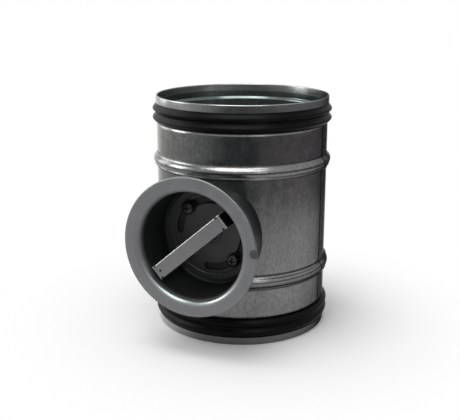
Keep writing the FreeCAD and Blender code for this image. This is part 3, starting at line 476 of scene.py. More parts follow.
def tones(tree, mask, *stops):
    """Colours along a mask: each stop is a place from 0 to 1 and a colour."""
    node = add_node(tree, "ShaderNodeValToRGB", {0: mask})
    marks = node.color_ramp.elements
    while len(marks) < len(stops):
        marks.new(1.0)
    for mark, (place, colour) in zip(marks, stops):
        mark.position = place
        mark.color = (*colour, 1.0)
    return node.outputs["Color"]


def new_material(name, metallic, colour):
    """A material, its tree and its Principled shader."""
    material = bpy.data.materials.new(name)
    material.use_nodes = True
    material.diffuse_color = (*colour, 1.0)
    tree = material.node_tree
    shader = tree.nodes["Principled BSDF"]
    shader.inputs["Metallic"].default_value = metallic
    return material, tree, shader


def bump(tree, shader, height, strength, distance):
    """Small relief from a pattern. The distance is in metres."""
    inputs = {"Strength": strength, "Distance": distance, "Height": height}
    node = add_node(tree, "ShaderNodeBump", inputs)
    tree.links.new(node.outputs[0], shader.inputs["Normal"])


def object_place(tree):
    """Places in the piece's own space, so that a pattern moves with the piece."""
    return add_node(tree, "ShaderNodeTexCoord").outputs["Object"]


def feeding(shader, name):
    """The socket that feeds this input of the shader so far."""
    return shader.inputs[name].links[0].from_socket


def made(material):
    """Print how many nodes a material has so far, and pass it on."""
    print(f"{material.name}: {len(material.node_tree.nodes)} nodes")
    return material


# %% [markdown]
# ### Galvanised sheet
# Three kinds of pattern make one tone: streaks that run up the tube, crystals, and fine grain. The
# streaks need a direction but no height, so their noise reads the place with its height nearly
# flattened. The inside has painted shade by the rim and painted light further in, where light falls
# in. Which side of the sheet a point is on shows in its normal, which points away from the axis outside.
#
# The folded rims get painted light, the upper one all round and the lower one on its left only;
# the lower one's right side is painted nearly as dark as the wall, as shade beside the floor. The
# feet of the beads and the edges of the grooves get a thin dark line of painted shade in the creases.
# Such heights count from the nearer rim, so that both ends get the same. Sheet reflects more at a
# grazing view, and the tint for that is lower on the seam's side, as painted shade there.

# %% Galvanised sheet
BEAD_PLACE = 46.0
BEAD_HALF_WIDTH = 6.0
GROOVE_END = 18.8
HEM_HEIGHT = 5.4
CRYSTAL_SIZE = 5.5
# Painted shade by the rim inside the tube, and painted light further in.
SHADED_INSIDE_TONE = (0.095, 0.116, 0.112)
LIT_INSIDE_TONE = (0.21, 0.24, 0.232)
# Painted light on the folded rims, and painted shade on the lower rim's right side.
UPPER_HEM_LIGHT_TONE = (0.37, 0.375, 0.37)
LOWER_HEM_LIGHT_TONE = (0.36, 0.36, 0.355)
LOWER_HEM_SHADE_TONE = (0.15, 0.152, 0.15)
# Painted shade: thin dark lines in the creases by the beads, the grooves and the hems.
CREASE_SHADE_TONE = (0.012, 0.014, 0.013)
CREASE_SHADE_LINES = (  # height from the rim, reach and strength
    (BEAD_PLACE - BEAD_HALF_WIDTH + 0.9, 1.1, 0.75),
    (BEAD_PLACE + BEAD_HALF_WIDTH - 0.9, 1.1, 0.85),
    (GROOVE_END + 0.3, 1.2, 0.8),
    (HEM_HEIGHT, 0.5, 0.6),
)


def from_nearer_rim(tree, height):
    """A height, counted from whichever rim is nearer."""
    half = DUCT_LENGTH / 2 * MM
    from_middle = sum_of(tree, "ABSOLUTE", sum_of(tree, "SUBTRACT", height, half))
    return sum_of(tree, "SUBTRACT", half, from_middle)


def weathered_tones(tree, place, crystals):
    """The outside, from streaks up the tube, crystals and grain."""
    upright = vector_of(tree, "MULTIPLY", place, (1.0, 1.0, 0.16))
    specks = vector_of(tree, "MULTIPLY", place, (1.0, 1.0, 0.45))
    tone = blend_of(
        tree,
        -0.19,
        (noise_of(tree, upright, 26.0, 3.0, 0.5), 0.5),
        (noise_of(tree, upright, 190.0, 3.0, 0.6), 0.18),
        (crystals, 0.08),
        (noise_of(tree, specks, 850.0, 4.0, 0.65), 0.85),
    )
    return tones(
        tree,
        tone,
        (0.30, (0.070, 0.082, 0.079)),
        (0.50, (0.120, 0.126, 0.122)),
        (0.72, (0.185, 0.183, 0.182)),
        (0.95, (0.250, 0.247, 0.245)),
    )


def inside_the_tube(tree, place):
    """1 on the inner face of the sheet, which gets painted light and shade, 0 on the outside that hands have
    dulled.
    """
    from_axis = vector_of(tree, "MULTIPLY", place, (1.0, 1.0, 0.0))
    normal = add_node(tree, "ShaderNodeNewGeometry").outputs["Normal"]
    return step_mm(tree, measure_of(tree, "DOT_PRODUCT", from_axis, normal), 0, -20)


def inner_light_and_shade(tree, level):
    """Painted shade by the rim and painted light past the groove, where more light falls in."""
    return mix_colours(tree, step_mm(tree, level, 10.5, 14.5), SHADED_INSIDE_TONE, LIT_INSIDE_TONE)


def hem_light_and_shade(tree, axes, level, base):
    """The base colour with painted light on the folded rims, the upper one with half its strength, and painted
    shade on the lower one's right.
    """
    low_end = step_mm(tree, axes["Z"], 100, 50)
    aside = step_mm(tree, axes["X"], -40, 0)
    tone = mix_colours(tree, aside, LOWER_HEM_LIGHT_TONE, LOWER_HEM_SHADE_TONE)
    tone = mix_colours(tree, low_end, UPPER_HEM_LIGHT_TONE, tone)
    hem = step_mm(tree, level, HEM_HEIGHT + 0.2, HEM_HEIGHT - 0.2)
    share = sum_of(tree, "MULTIPLY", hem, spread(tree, low_end, 0.5, 1.0))
    return mix_colours(tree, share, base, tone)


def painted_crease_shade(tree, level):
    """1 on thin level lines beside the folds, where painted shade goes."""
    total = 0.0
    for height, reach, strength in CREASE_SHADE_LINES:
        away = sum_of(tree, "ABSOLUTE", sum_of(tree, "SUBTRACT", level, height * MM))
        line = sum_of(tree, "MULTIPLY", step_mm(tree, away, reach, 0), strength)
        total = sum_of(tree, "MAXIMUM", total, line)
    return total


def seam_side_reflection_shade(tree, axes):
    """The tint of grazing reflections, full at the left and an eighth of that by the seam: painted shade on the
    seam's side.
    """
    level = spread(tree, step_mm(tree, axes["X"], -30, 55), 1.0, 0.12)
    return add_node(tree, "ShaderNodeCombineColor", {0: level, 1: level, 2: level}).outputs[0]


def make_galvanised():
    """The tube's sheet, inside and outside."""
    material, tree, shader = new_material("galvanised_sheet", 0.9, (0.12, 0.12, 0.12))
    place = object_place(tree)
    axes = axes_of(tree, place)
    level = from_nearer_rim(tree, axes["Z"])
    crystals = mask_of(tree, SPANGLE, Size=CRYSTAL_SIZE * MM)
    base = weathered_tones(tree, place, crystals)
    # The inner face gets painted shade by the rim and painted light further in.
    base = mix_colours(tree, inside_the_tube(tree, place), base, inner_light_and_shade(tree, level))
    # Painted light on the folded rims, painted shade on the lower one's right.
    base = hem_light_and_shade(tree, axes, level, base)
    # Painted shade in the creases, which also makes them a little rougher.
    crease_shade = painted_crease_shade(tree, level)
    base = mix_colours(tree, crease_shade, base, CREASE_SHADE_TONE)
    marks = mask_of(tree, MARKS, Scale=34.0)
    rough = sum_of(tree, "ADD", spread(tree, crystals, 0.18, 0.24), spread(tree, marks, 0.0, 0.04))
    rough = sum_of(tree, "MULTIPLY_ADD", crease_shade, 0.3, rough)
    tree.links.new(base, shader.inputs["Base Color"])
    tree.links.new(rough, shader.inputs["Roughness"])
    # Painted shade: grazing reflections are tinted down on the seam's side.
    tree.links.new(seam_side_reflection_shade(tree, axes), shader.inputs["Specular Tint"])
    bump(tree, shader, mask_of(tree, LINES, Stretch=(0.05, 0.05, 1.0)), 0.3, 0.00004)
    return made(material)


GALVANISED = make_galvanised()

# %% [markdown]
# ### Pressed sheet
# The cup, the dial and the handle come from the same plain sheet, drawn or pressed, so one function
# makes them with other numbers. It is duller than the tube, and the deeper it lies in the cup the
# darker it is painted, as painted shade. The dial needs nothing more.

# %% Pressed sheet


def pressed_sheet(name, light, dark, deep, metallic, rough, depths=(89.5, 84.0)):
    """Sheet that goes over to its deep colour, a painted shade, between two depths on the cup's axis."""
    material, tree, shader = new_material(name, metallic, light)
    circles = mask_of(tree, RINGS, Scale=700.0)
    cloud = noise_of(tree, object_place(tree), 70.0, 4.0, 0.6)
    grain = noise_of(tree, object_place(tree), 1900.0, 2.0)
    tone = blend_of(tree, -0.1, (circles, 0.35), (cloud, 0.6), (grain, 0.25))
    base = mix_colours(tree, step_of(tree, tone, 0.2, 0.8), dark, light)
    # Painted shade: the sheet is darker the deeper it lies in the cup.
    base = mix_colours(tree, depth_mask(tree, *depths), base, deep)
    tree.links.new(base, shader.inputs["Base Color"])
    tree.links.new(spread(tree, cloud, rough - 0.08, rough + 0.08), shader.inputs["Roughness"])
    bump(tree, shader, circles, 0.12, 0.00003)
    return made(material)


def depth_mask(tree, mouth, deep):
    """0 at the mouth's distance from the duct's axis and 1 at the deep one."""
    return mask_of(tree, DEPTH, Mouth=-mouth * MM, Deep=-deep * MM)


DIAL = pressed_sheet(
    "pressed_sheet", (0.190, 0.188, 0.192), (0.140, 0.140, 0.143), (0.055, 0.056, 0.057), 0.5, 0.45
)

# %% [markdown]
# ### The cup's own finish
# Drawing polishes the sheet where it slides over the die, so the outer wall is glossier than the
# flange. The lower half of the mouth gets a painted highlight, where light from above falls on its
# bend, and is glossier there as well. The wall gets darker towards the tube, which shades it. The
# small dent at the flange's right edge gets painted shade. A material written out anew would repeat
# the sheet's nodes, so all of this is laid over the pressed sheet's colour and roughness instead.

# %% The cup's own finish
# A painted highlight on the mouth's lower half.
MOUTH_HIGHLIGHT_TONE = (0.195, 0.215, 0.21)
MOUTH_EDGE = (40.8, 39.0)
MOUTH_DEPTHS = (90.5, 87.5)
MOUTH_DROP = (12.0, 34.0)
WALL_TONE = (0.096, 0.108, 0.106)
SHADED_WALL_TONE = (0.036, 0.041, 0.040)
WALL_DEPTHS = (74.0, 58.0)
# Painted shade in the small dent.
DENT_SHADE_TONE = (0.065, 0.067, 0.068)
DENT_EDGE = (3.4, 2.8)
DENT_RADIUS = 46.6
DENT_ANGLE = math.radians(2.5)
DENT_REACH = Vector((math.cos(DENT_ANGLE), 0, math.sin(DENT_ANGLE))) * DENT_RADIUS * MM
DENT_CENTRE = Vector((0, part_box("handle_cup")[0].y, 0)) + SHAFT + DENT_REACH


def mouth_highlight_and_polish(tree, place, outside):
    """1 on the lower half of the mouth, inside the cup and near its front, where the highlight is painted and the
    sheet is glossier.
    """
    start, stop = (SHAFT.z - drop * MM for drop in MOUTH_DROP)
    polish = step_mm(tree, reach_from_shaft(tree, place), *MOUTH_EDGE)
    for share in (
        sum_of(tree, "SUBTRACT", 1.0, outside),
        sum_of(tree, "SUBTRACT", 1.0, depth_mask(tree, *MOUTH_DEPTHS)),
        step_of(tree, axes_of(tree, place)["Z"], start, stop),
    ):
        polish = sum_of(tree, "MULTIPLY", polish, share)
    return polish


def drawn_cup():
    """Pressed sheet with a painted highlight on the mouth's lower half, a glossier outer wall and painted shade in
    the dent.
    """
    material = pressed_sheet(
        "drawn_sheet", (0.20, 0.202, 0.206), (0.15, 0.152, 0.155), (0.02, 0.024, 0.023), 0.45, 0.5
    )
    tree = material.node_tree
    shader = tree.nodes["Principled BSDF"]
    place = object_place(tree)
    outside = mask_of(tree, OUTSIDE)
    # Painted highlight and lower roughness on the mouth's lower half.
    mouth = mouth_highlight_and_polish(tree, place, outside)
    near_tube = step_mm(tree, axes_of(tree, place)["Y"], *(-depth for depth in WALL_DEPTHS))
    wall = mix_colours(tree, near_tube, WALL_TONE, SHADED_WALL_TONE)
    # Painted shade in the dent.
    dent_shade = step_mm(tree, measure_of(tree, "DISTANCE", place, DENT_CENTRE), *DENT_EDGE)
    base = feeding(shader, "Base Color")
    for mask, tone in ((mouth, MOUTH_HIGHLIGHT_TONE), (outside, wall), (dent_shade, DENT_SHADE_TONE)):
        base = mix_colours(tree, mask, base, tone)
    polished = sum_of(tree, "MAXIMUM", mouth, outside)
    rough = sum_of(tree, "MULTIPLY_ADD", polished, -0.18, feeding(shader, "Roughness"))
    tree.links.new(base, shader.inputs["Base Color"])
    tree.links.new(rough, shader.inputs["Roughness"])
    tree.links.new(spread(tree, polished, 0.45, 0.92), shader.inputs["Metallic"])
    return made(material)


DRAWN = drawn_cup()

# %% [markdown]
# ### Painted highlights on the handle's edges
# The handle is the same sheet again. Its face is light, and its folded sides and legs, which the
# cup shades, are nearly black. Its bent edges get a painted highlight, the upper one most, where
# light from above falls. How far a point lies across the bar comes from one dot product with the
# bar's upward direction. A node that finds every edge would brighten the notches and the small
# hole as well.

# %% The handle's painted edge highlights
BAR_EDGE = 4.9
# Painted highlights on the bar's bent edges, stronger on the upper one.
UPPER_HIGHLIGHT = 0.5
LOWER_HIGHLIGHT = 0.2
BAR_EDGE_HIGHLIGHT_TONE = (0.62, 0.62, 0.62)


def paint_bar_edge_highlights(material):
    """Paint highlights on the bent edges along the bar, the upper one most, where light from above falls."""
    tree = material.node_tree
    shader = tree.nodes["Principled BSDF"]
    upwards = Vector((-math.sin(HANDLE_ANGLE), 0, math.cos(HANDLE_ANGLE)))
    place = vector_of(tree, "SUBTRACT", object_place(tree), SHAFT)
    across = measure_of(tree, "DOT_PRODUCT", place, upwards)
    # Painted highlight along both bent edges, the upper one at full strength.
    upper = step_mm(tree, across, BAR_EDGE - UPPER_HIGHLIGHT, BAR_EDGE)
    lower = step_mm(tree, across, LOWER_HIGHLIGHT - BAR_EDGE, -BAR_EDGE)
    edge_light = sum_of(tree, "MULTIPLY_ADD", lower, 0.25, upper)
    base = mix_colours(tree, edge_light, feeding(shader, "Base Color"), BAR_EDGE_HIGHLIGHT_TONE)
    tree.links.new(base, shader.inputs["Base Color"])
    return made(material)


HANDLE = paint_bar_edge_highlights(
    pressed_sheet(
        "handle_sheet",
        (0.19, 0.19, 0.194),
        (0.15, 0.15, 0.153),
        (0.006, 0.007, 0.007),
        0.6,
        0.42,
        depths=(92.1, 90.8),
    )
)

# %% [markdown]
# ### Zinc plate, burnt zinc and turned steel
# The fasteners are zinc plated, those in the cup with a film of old oil. Welding burns the zinc off
# the seam, so its marks are dark. The shaft is turned, so its lines run round it. Only the numbers
# differ, so one function makes them all.

# %% Zinc plate, burnt zinc and turned steel


def plain_metal(name, light, dark, metallic, rough, stretch):
    """Small metal parts, with dark marks and fine lines that stretch along some axes."""
    material, tree, shader = new_material(name, metallic, light)
    marks = mask_of(tree, MARKS, Scale=180.0)
    lines = mask_of(tree, LINES, Scale=1500.0, Stretch=stretch)
    base = mix_colours(tree, sum_of(tree, "MULTIPLY", marks, 0.7), light, dark)
    tree.links.new(base, shader.inputs["Base Color"])
    tree.links.new(spread(tree, lines, rough - 0.07, rough + 0.07), shader.inputs["Roughness"])
    bump(tree, shader, lines, 0.2, 0.00002)
    return made(material)


ZINC = plain_metal("zinc_plate", (0.17, 0.17, 0.165), (0.08, 0.08, 0.08), 0.95, 0.3, (1, 1, 1))
OILED = plain_metal("oiled_zinc", (0.05, 0.052, 0.05), (0.02, 0.02, 0.02), 0.9, 0.32, (1, 1, 1))
BURNT = plain_metal("burnt_zinc", (0.035, 0.037, 0.037), (0.015, 0.016, 0.016), 0.8, 0.5, (1, 1, 1))
TURNED = plain_metal(
    "turned_steel", (0.30, 0.30, 0.30), (0.18, 0.18, 0.18), 1.0, 0.25, (0.05, 1.0, 0.05)
)

# %% [markdown]
# ## Rubber and moulded plastic
# The lip seals are soft black rubber: nearly black, with a weak sheen where a lip turns to the
# light and a trace of dust. The bushes and the cap are moulded plastic with a fine texture. One
# function makes both, because only the numbers differ.

# %% Rubber and plastic


def moulded(name, colour, powder, rough, grain, depth):
    """Rubber or plastic, with powder in patches and grain pressed in to a depth in metres."""
    material, tree, shader = new_material(name, 0.0, colour)
    shader.inputs["Specular IOR Level"].default_value = 0.045
    marks = mask_of(tree, MARKS, Scale=60.0)
    fine = noise_of(tree, object_place(tree), grain, 3.0)
    base = mix_colours(tree, marks, colour, powder)
    tree.links.new(base, shader.inputs["Base Color"])
    tree.links.new(spread(tree, fine, rough - 0.08, rough + 0.08), shader.inputs["Roughness"])
    bump(tree, shader, fine, 0.3, depth)
    return made(material)


RUBBER = moulded("soft_rubber", (0.004, 0.004, 0.004), (0.007, 0.007, 0.007), 0.38, 700.0, 6e-5)
PLASTIC = moulded("black_plastic", (0.02, 0.02, 0.022), (0.03, 0.03, 0.032), 0.5, 1600.0, 4e-5)

# %% [markdown]
# ## Sections
# The tube, the cup, the seals and the screws are all turned or rolled about an axis, and each is
# fully told by its section. A section is written as a short list of corners with a fillet radius
# each. Bent sheet is told by its middle line, and gets its thickness from it, as on the folding
# machine.

# %% Sections
BEND_ERROR = 0.006
BEND_SHARE = 0.03
LEAST_LEAN = 0.3
RAIL_RADIUS = 20.0


def rounded(corners):
    """A line through corners (across, along, fillet), with an arc in place of each corner."""
    points = []
    for number, (x, y, radius) in enumerate(corners):
        here = Vector((x, y))
        if radius == 0 or number in (0, len(corners) - 1):
            points.append(here)
            continue
        back = (Vector(corners[number - 1][:2]) - here).normalized()
        ahead = (Vector(corners[number + 1][:2]) - here).normalized()
        points.extend(fillet(here, back, ahead, radius))
    return points


def fillet(corner, back, ahead, radius):
    """Points on the arc of this radius that touches both arms of a corner."""
    half = back.angle(ahead) / 2
    centre = corner + (back + ahead).normalized() * (radius / math.sin(half))
    start = corner + back * (radius / math.tan(half)) - centre
    turn = math.pi - 2 * half
    if back.cross(ahead) > 0:
        turn = -turn
    widest = 2 * math.acos(1 - min(BEND_ERROR / radius, BEND_SHARE))
    steps = max(2, math.ceil(abs(turn) / widest))
    spin = [Matrix.Rotation(turn * step / steps, 2) for step in range(steps + 1)]
    return [centre + rotation @ start for rotation in spin]


def thickened(middle, thickness):
    """A closed outline at half the thickness either side of a middle line."""
    left, right = [], []
    for number, point in enumerate(middle):
        before = middle[max(number - 1, 0)]
        after = middle[min(number + 1, len(middle) - 1)]
        arms = [(point - before).normalized(), (after - point).normalized()]
        along = (arms[0] + arms[1]).normalized()
        lean = max(along.dot(arms[1] if number == 0 else arms[0]), LEAST_LEAN)
        side = Vector((-along.y, along.x)) * (thickness / 2 / lean)
        left.append(point + side)
        right.append(point - side)
    return left + right[::-1]


def wire_object(name, places, closed):
    """Points in metres joined by edges, for a tree to read."""
    count = len(places)
    edges = [(number, number + 1) for number in range(count - 1)]
    if closed:
        edges.append((count - 1, 0))
    mesh = bpy.data.meshes.new(name)
    mesh.from_pydata(places, edges, [])
    return bpy.data.objects.new(name, mesh)


def section_object(name, points, closed):
    """The section as a wire: across in X from the rail, along in -Y, as the sweep wants it."""
    places = [((point.x - RAIL_RADIUS) * MM, -point.y * MM, 0) for point in points]
    return wire_object(name, places, closed)


# %% [markdown]
# ## The sweep
# One tree makes every round piece. It lays a circle, carries the section round it, closes the
# solid and pushes the surface in and out by less than a tenth of a millimetre, as rolled sheet is
# never quite true. Those small waves are what break up the reflections on a real tube. A lathe in
# mesh code would do the sweep as well, but here the number of steps and the waves stay inputs.

# %% The sweep tree
FULL_TURN = 2 * math.pi
MERGE_REACH = 0.002
WAVES = 0.16
SEAL_WAVES = 0.1


def make_sweep():
    """Carry a section round a circle, close the solid and wave its surface."""
    tree, given, finish = new_tree(
        "swept_section",
        [
            ("Section", "Object", None),
            ("From", "Float", 0.0),
            ("Sweep", "Float", FULL_TURN),
            ("Steps", "Int", 240),
            ("Full Turn", "Bool", True),
            ("Waves", "Float", 0.0),
            ("Wave Size", "Float", 14.0),
            ("Material", "Material", None),
        ],
    )
    ring = add_node(
        tree,
        "GeometryNodeCurveArc",
        {
            "Resolution": given["Steps"],
            "Radius": RAIL_RADIUS * MM,
            "Start Angle": given["From"],
            "Sweep Angle": given["Sweep"],
        },
    )
    joined = add_node(
        tree,
        "GeometryNodeSetSplineCyclic",
        {"Geometry": ring.outputs["Curve"], "Cyclic": given["Full Turn"]},
    )
    upright = add_node(
        tree, "GeometryNodeSetCurveNormal", {"Curve": joined.outputs[0]}, mode="Z_UP"
    )
    wire = add_node(tree, "GeometryNodeObjectInfo", {"Object": given["Section"]})
    outline = add_node(tree, "GeometryNodeMeshToCurve", {0: wire.outputs["Geometry"]})
    body = add_node(
        tree,
        "GeometryNodeCurveToMesh",
        {"Curve": upright.outputs[0], "Profile Curve": outline.outputs[0], "Fill Caps": True},
    )
    merged = add_node(
        tree, "GeometryNodeMergeByDistance", {0: body.outputs[0], "Distance": MERGE_REACH * MM}
    )
    place = add_node(tree, "GeometryNodeInputPosition").outputs[0]
    noise = noise_of(tree, place, given["Wave Size"], 1.0)
    amount = sum_of(tree, "MULTIPLY", sum_of(tree, "SUBTRACT", noise, 0.5), given["Waves"])
    outward = vector_of(tree, "NORMALIZE", vector_of(tree, "MULTIPLY", place, (1.0, 1.0, 0.0)))
    push = vector_of(tree, "SCALE", outward, Scale=amount)
    waved = add_node(
        tree, "GeometryNodeSetPosition", {"Geometry": merged.outputs[0], "Offset": push}
    )
    close_tree(tree, waved.outputs[0], given["Material"], finish)
    return tree


SWEEP = make_sweep()


def swept(name, points, material, place=None, closed=True, steps=240, **values):
    """Carry a section round the Z axis. A section that starts and ends on it is left open."""
    section = section_object(f"{name}_section", points, closed)
    around = FULL_TURN * (1 - 1 / steps)
    values = {"Section": section, "Steps": steps, "Material": material, "Sweep": around, **values}
    piece = grow(name, SWEEP, values, place)
    bpy.data.objects.remove(section)
    return piece


# %% [markdown]
# ## The tube
# The sheet starts at the free edge of the folded rim, turns back on itself, dips into the seal's
# groove, comes out over a round shoulder and runs up over the bead to the other half, which is
# its mirror image. A bead is three arcs that flow into each other, and the lap of the seam has to
# follow the same bead one sheet further out, so its corners are worked out for any lift.

# %% The tube's wall
SHEET = 0.6
TUBE_RADIUS = 62.5
TUBE_MIDDLE = TUBE_RADIUS - SHEET / 2
GROOVE_MIDDLE = 61.0
HEM_MIDDLE = 62.9
BEAD_HEIGHT = 2.8
BEAD_BEND = (BEAD_HALF_WIDTH**2 + BEAD_HEIGHT**2) / (4 * BEAD_HEIGHT)
BEAD_LEAN = math.asin(BEAD_HALF_WIDTH / (2 * BEAD_BEND))


def bead(radius):
    """The three corners of a bead's line, for a line that runs at this radius."""
    lift = radius - TUBE_RADIUS
    foot = BEAD_HALF_WIDTH - (BEAD_BEND - lift) * math.tan(BEAD_LEAN / 2)
    peak = BEAD_HEIGHT + (BEAD_BEND + lift) * (1 / math.cos(BEAD_LEAN) - 1)
    return [
        (radius, BEAD_PLACE - foot, BEAD_BEND - lift),
        (radius + peak, BEAD_PLACE, BEAD_BEND + lift),
        (radius, BEAD_PLACE + foot, BEAD_BEND - lift),
    ]


def half_tube():
    """Corners of the tube's middle line, from the rim's free edge up to half height."""
    return [
        (HEM_MIDDLE, 5.35, 0),
        (HEM_MIDDLE, SHEET / 2, 0.34),
        (TUBE_MIDDLE, SHEET / 2, 0.34),
        (TUBE_MIDDLE, 9.9, 1.0),
        (GROOVE_MIDDLE, 11.6, 1.0),
        (GROOVE_MIDDLE, 18.75, 0.35),
        (TUBE_MIDDLE, 20.05, 3.9),
        *bead(TUBE_MIDDLE),
        (TUBE_MIDDLE, DUCT_LENGTH / 2, 0),
    ]


def whole_from_half(points):
    """Add the mirror image above the middle of the tube."""
    above = [Vector((point.x, DUCT_LENGTH - point.y)) for point in reversed(points[:-1])]
    return points + above


wall_line = whole_from_half(rounded(half_tube()))
tube = swept("tube_wall", thickened(wall_line, SHEET), GALVANISED, Waves=WAVES * MM)

# %% [markdown]
# ### Holes in the tube
# The cup passes through the wall, and the shaft's rear bush and its two rivets need holes on the
# other side. None of them follows the sweep, so they are cut afterwards with Boolean modifiers.
# The cutter for the cup is the cup's own outside with a little room round it. A short slit in the
# folded rim, where the hem was nicked to let it turn, is cut in the same way.

# %% Cut the holes
CUP_GAP = 0.15
BUSH_HOLE = 6.1
RIVET_HOLE = 1.65
REAR_RIVET_CIRCLE = 12.6
REAR_WALL = (50, 72)
LOCK_ANGLE = math.radians(135)
HEM_SLIT = (0.5, 2.0, 6.0)
HEM_SLIT_PLACE = (0, -63.55, 2.9)
HEM_SLIT_AZIMUTH = math.radians(22)


def cut(piece, cutters):
    """Take the cutters out of a piece and keep the result as a plain mesh."""
    for cutter in cutters:
        modifier = piece.modifiers.new("cut", "BOOLEAN")
        modifier.operation = "DIFFERENCE"
        modifier.solver = "MANIFOLD"
        modifier.object = cutter
    mesh = plain_mesh(piece)
    one_material(mesh)
    for cutter in cutters:
        bpy.data.objects.remove(cutter)
    mesh.set_sharp_from_angle(angle=SHARP_ANGLE)
    print(f"{piece.name}: {len(mesh.polygons)} faces after the cuts")


def rod(radius, back, front, place, corner=0.0):
    """A plain cutter along Z, with its lower edge rounded."""
    outline = [(0, back, 0), (radius, back, corner), (radius, front, 0), (0, front, 0)]
    points = rounded(outline)
    return swept("cutter", points, None, place, closed=False, steps=144)


def in_metres(lengths):
    """Lengths in millimetres, turned into metres."""
    return [length * MM for length in lengths]


def block(size, place):
    """A plain box, for a cutter."""
    mesh = bpy.data.meshes.new("cutter")
    shell = bmesh.new()
    bmesh.ops.create_cube(shell, size=1.0)
    shell.to_mesh(mesh)
    shell.free()
    mesh.transform(place @ Matrix.Diagonal((*in_metres(size), 1.0)))
    return add_object("cutter", mesh)


cup_floor, flange_front = depth_range("handle_cup")
rear_place = CUP_PLACE @ Matrix.Rotation(math.pi, 4, "Y")
cup_outside = CUP_WALL + CUP_SHEET / 2 + CUP_GAP
cup_corner = CUP_ROUND + CUP_SHEET / 2 + CUP_GAP
cutters = [
    rod(cup_outside, cup_floor - CUP_GAP, flange_front, CUP_PLACE, cup_corner),
    rod(BUSH_HOLE, *REAR_WALL, rear_place),
]
for side in (1, -1):
    across = REAR_RIVET_CIRCLE * math.cos(LOCK_ANGLE) * side * MM
    up = REAR_RIVET_CIRCLE * math.sin(LOCK_ANGLE) * side * MM
    cutters.append(rod(RIVET_HOLE, *REAR_WALL, Matrix.Translation((across, 0, up)) @ rear_place))
slit_turn = Matrix.Rotation(HEM_SLIT_AZIMUTH, 4, "Z")
cutters.append(block(HEM_SLIT, slit_turn @ Matrix.Translation(in_metres(HEM_SLIT_PLACE))))
cut(tube, cutters)
settle(tube, "housing", "galvanised_steel", "duct_body")

# %% [markdown]
# ### The lap and its welds
# The sheet's edge laps over itself on the right. The lap is the same line one sheet further out,
# swept through a few degrees only. It is held by a row of small dark weld marks, which one tree
# sets along a path at an even pitch, so that they follow the beads as well. A single mark copied by
# hand along the path would look the same, but its pitch couldn't be changed afterwards.

# %% The lap and the weld marks
LAP_SINK = 0.05
LAP_MIDDLE = TUBE_RADIUS + SHEET / 2 - LAP_SINK
LAP_WIDTH = 7.2
LAP_START = 18.9
LAP_SHOULDER = 1.3
LAP_ROUND = 4.2
WELD_PITCH = 4.3
WELD_MARK = (0.5, 0.8, 2.1)


def half_lap(radius):
    """Corners of a line outside the sheet, from beside the seal up to half height."""
    start = radius - TUBE_MIDDLE + GROOVE_MIDDLE
    shoulder = [(start, LAP_START, 0), (radius, LAP_START + LAP_SHOULDER, LAP_ROUND)]
    return [*shoulder, *bead(radius), (radius, DUCT_LENGTH / 2, 0)]


lap_line = whole_from_half(rounded(half_lap(LAP_MIDDLE)))
lap_turn = LAP_WIDTH / LAP_MIDDLE
lap_inputs = {
    "From": -lap_turn / 2,
    "Sweep": lap_turn,
    "Full Turn": False,
    "Waves": WAVES * MM,
}
lap = swept("seam_lap", thickened(lap_line, SHEET), GALVANISED, steps=9, **lap_inputs)
settle(lap, "housing", "galvanised_steel")


def make_marks_on_path():
    """Small round marks at an even pitch along a path, each turned along it."""
    tree, given, finish = new_tree(
        "marks_on_path",
        [
            ("Path", "Object", None),
            ("Pitch", "Float", 0.004),
            ("Size", "Vector", (0.001, 0.001, 0.001)),
            ("Material", "Material", None),
        ],
    )
    wire = add_node(tree, "GeometryNodeObjectInfo", {"Object": given["Path"]})
    curve = add_node(tree, "GeometryNodeMeshToCurve", {0: wire.outputs["Geometry"]})
    spots = add_node(
        tree,
        "GeometryNodeCurveToPoints",
        {"Curve": curve.outputs[0], "Length": given["Pitch"]},
        mode="LENGTH",
    )
    turn = add_node(
        tree,
        "FunctionNodeAlignRotationToVector",
        {"Vector": spots.outputs["Tangent"]},
        axis="Z",
        pivot_axis="Y",
    )
    mark = add_node(
        tree, "GeometryNodeMeshUVSphere", {"Segments": 16, "Rings": 8, "Radius": 0.5}
    )
    placed = add_node(
        tree,
        "GeometryNodeInstanceOnPoints",
        {
            "Points": spots.outputs["Points"],
            "Instance": mark.outputs[0],
            "Rotation": turn.outputs[0],
            "Scale": given["Size"],
        },
    )
    close_tree(tree, placed.outputs[0], given["Material"], finish)
    return tree


weld_line = whole_from_half(rounded(half_lap(LAP_MIDDLE + SHEET / 2)))
weld_places = [in_metres((point.x, 0, point.y)) for point in weld_line]
weld_path = wire_object("weld_path", weld_places, False)
weld_inputs = {
    "Path": weld_path,
    "Pitch": WELD_PITCH * MM,
    "Size": in_metres(WELD_MARK),
    "Material": BURNT,
}
welds = grow("seam_welds", make_marks_on_path(), weld_inputs)
bpy.data.objects.remove(weld_path)
settle(welds, "housing", "galvanised_steel")

# %% [markdown]
# ## The rubber seals
# Each seal is one rubber profile with two lips, bedded in the groove. The lips lean away from the
# end of the tube, so that they fold back when the tube is pushed into a pipe. The upper seal is
# the lower one's mirror image.

# %% The lip seals
SEAL_SECTION = [
    (61.2, 15.0, 0),
    (61.2, 11.7, 0.5),
    (62.4, 10.2, 0.5),
    (62.4, 5.55, 0.2),
    (63.3, 5.55, 0.3),
    (63.3, 6.2, 0.8),
    (65.75, 9.5, 1.5),
    (63.3, 11.9, 0.4),
    (63.3, 12.8, 0.6),
    (65.75, 16.0, 1.5),
    (63.4, 18.6, 0.3),
    (61.2, 18.65, 0.2),
]


def make_lips(name, mirrored, node):
    """One seal, in the lower groove as drawn or mirrored in the upper one."""
    points = rounded(SEAL_SECTION)
    if mirrored:
        points = [Vector((point.x, DUCT_LENGTH - point.y)) for point in points]
    lips = swept(name, points, RUBBER, Waves=SEAL_WAVES * MM)
    settle(lips, "housing", "black_rubber", node)


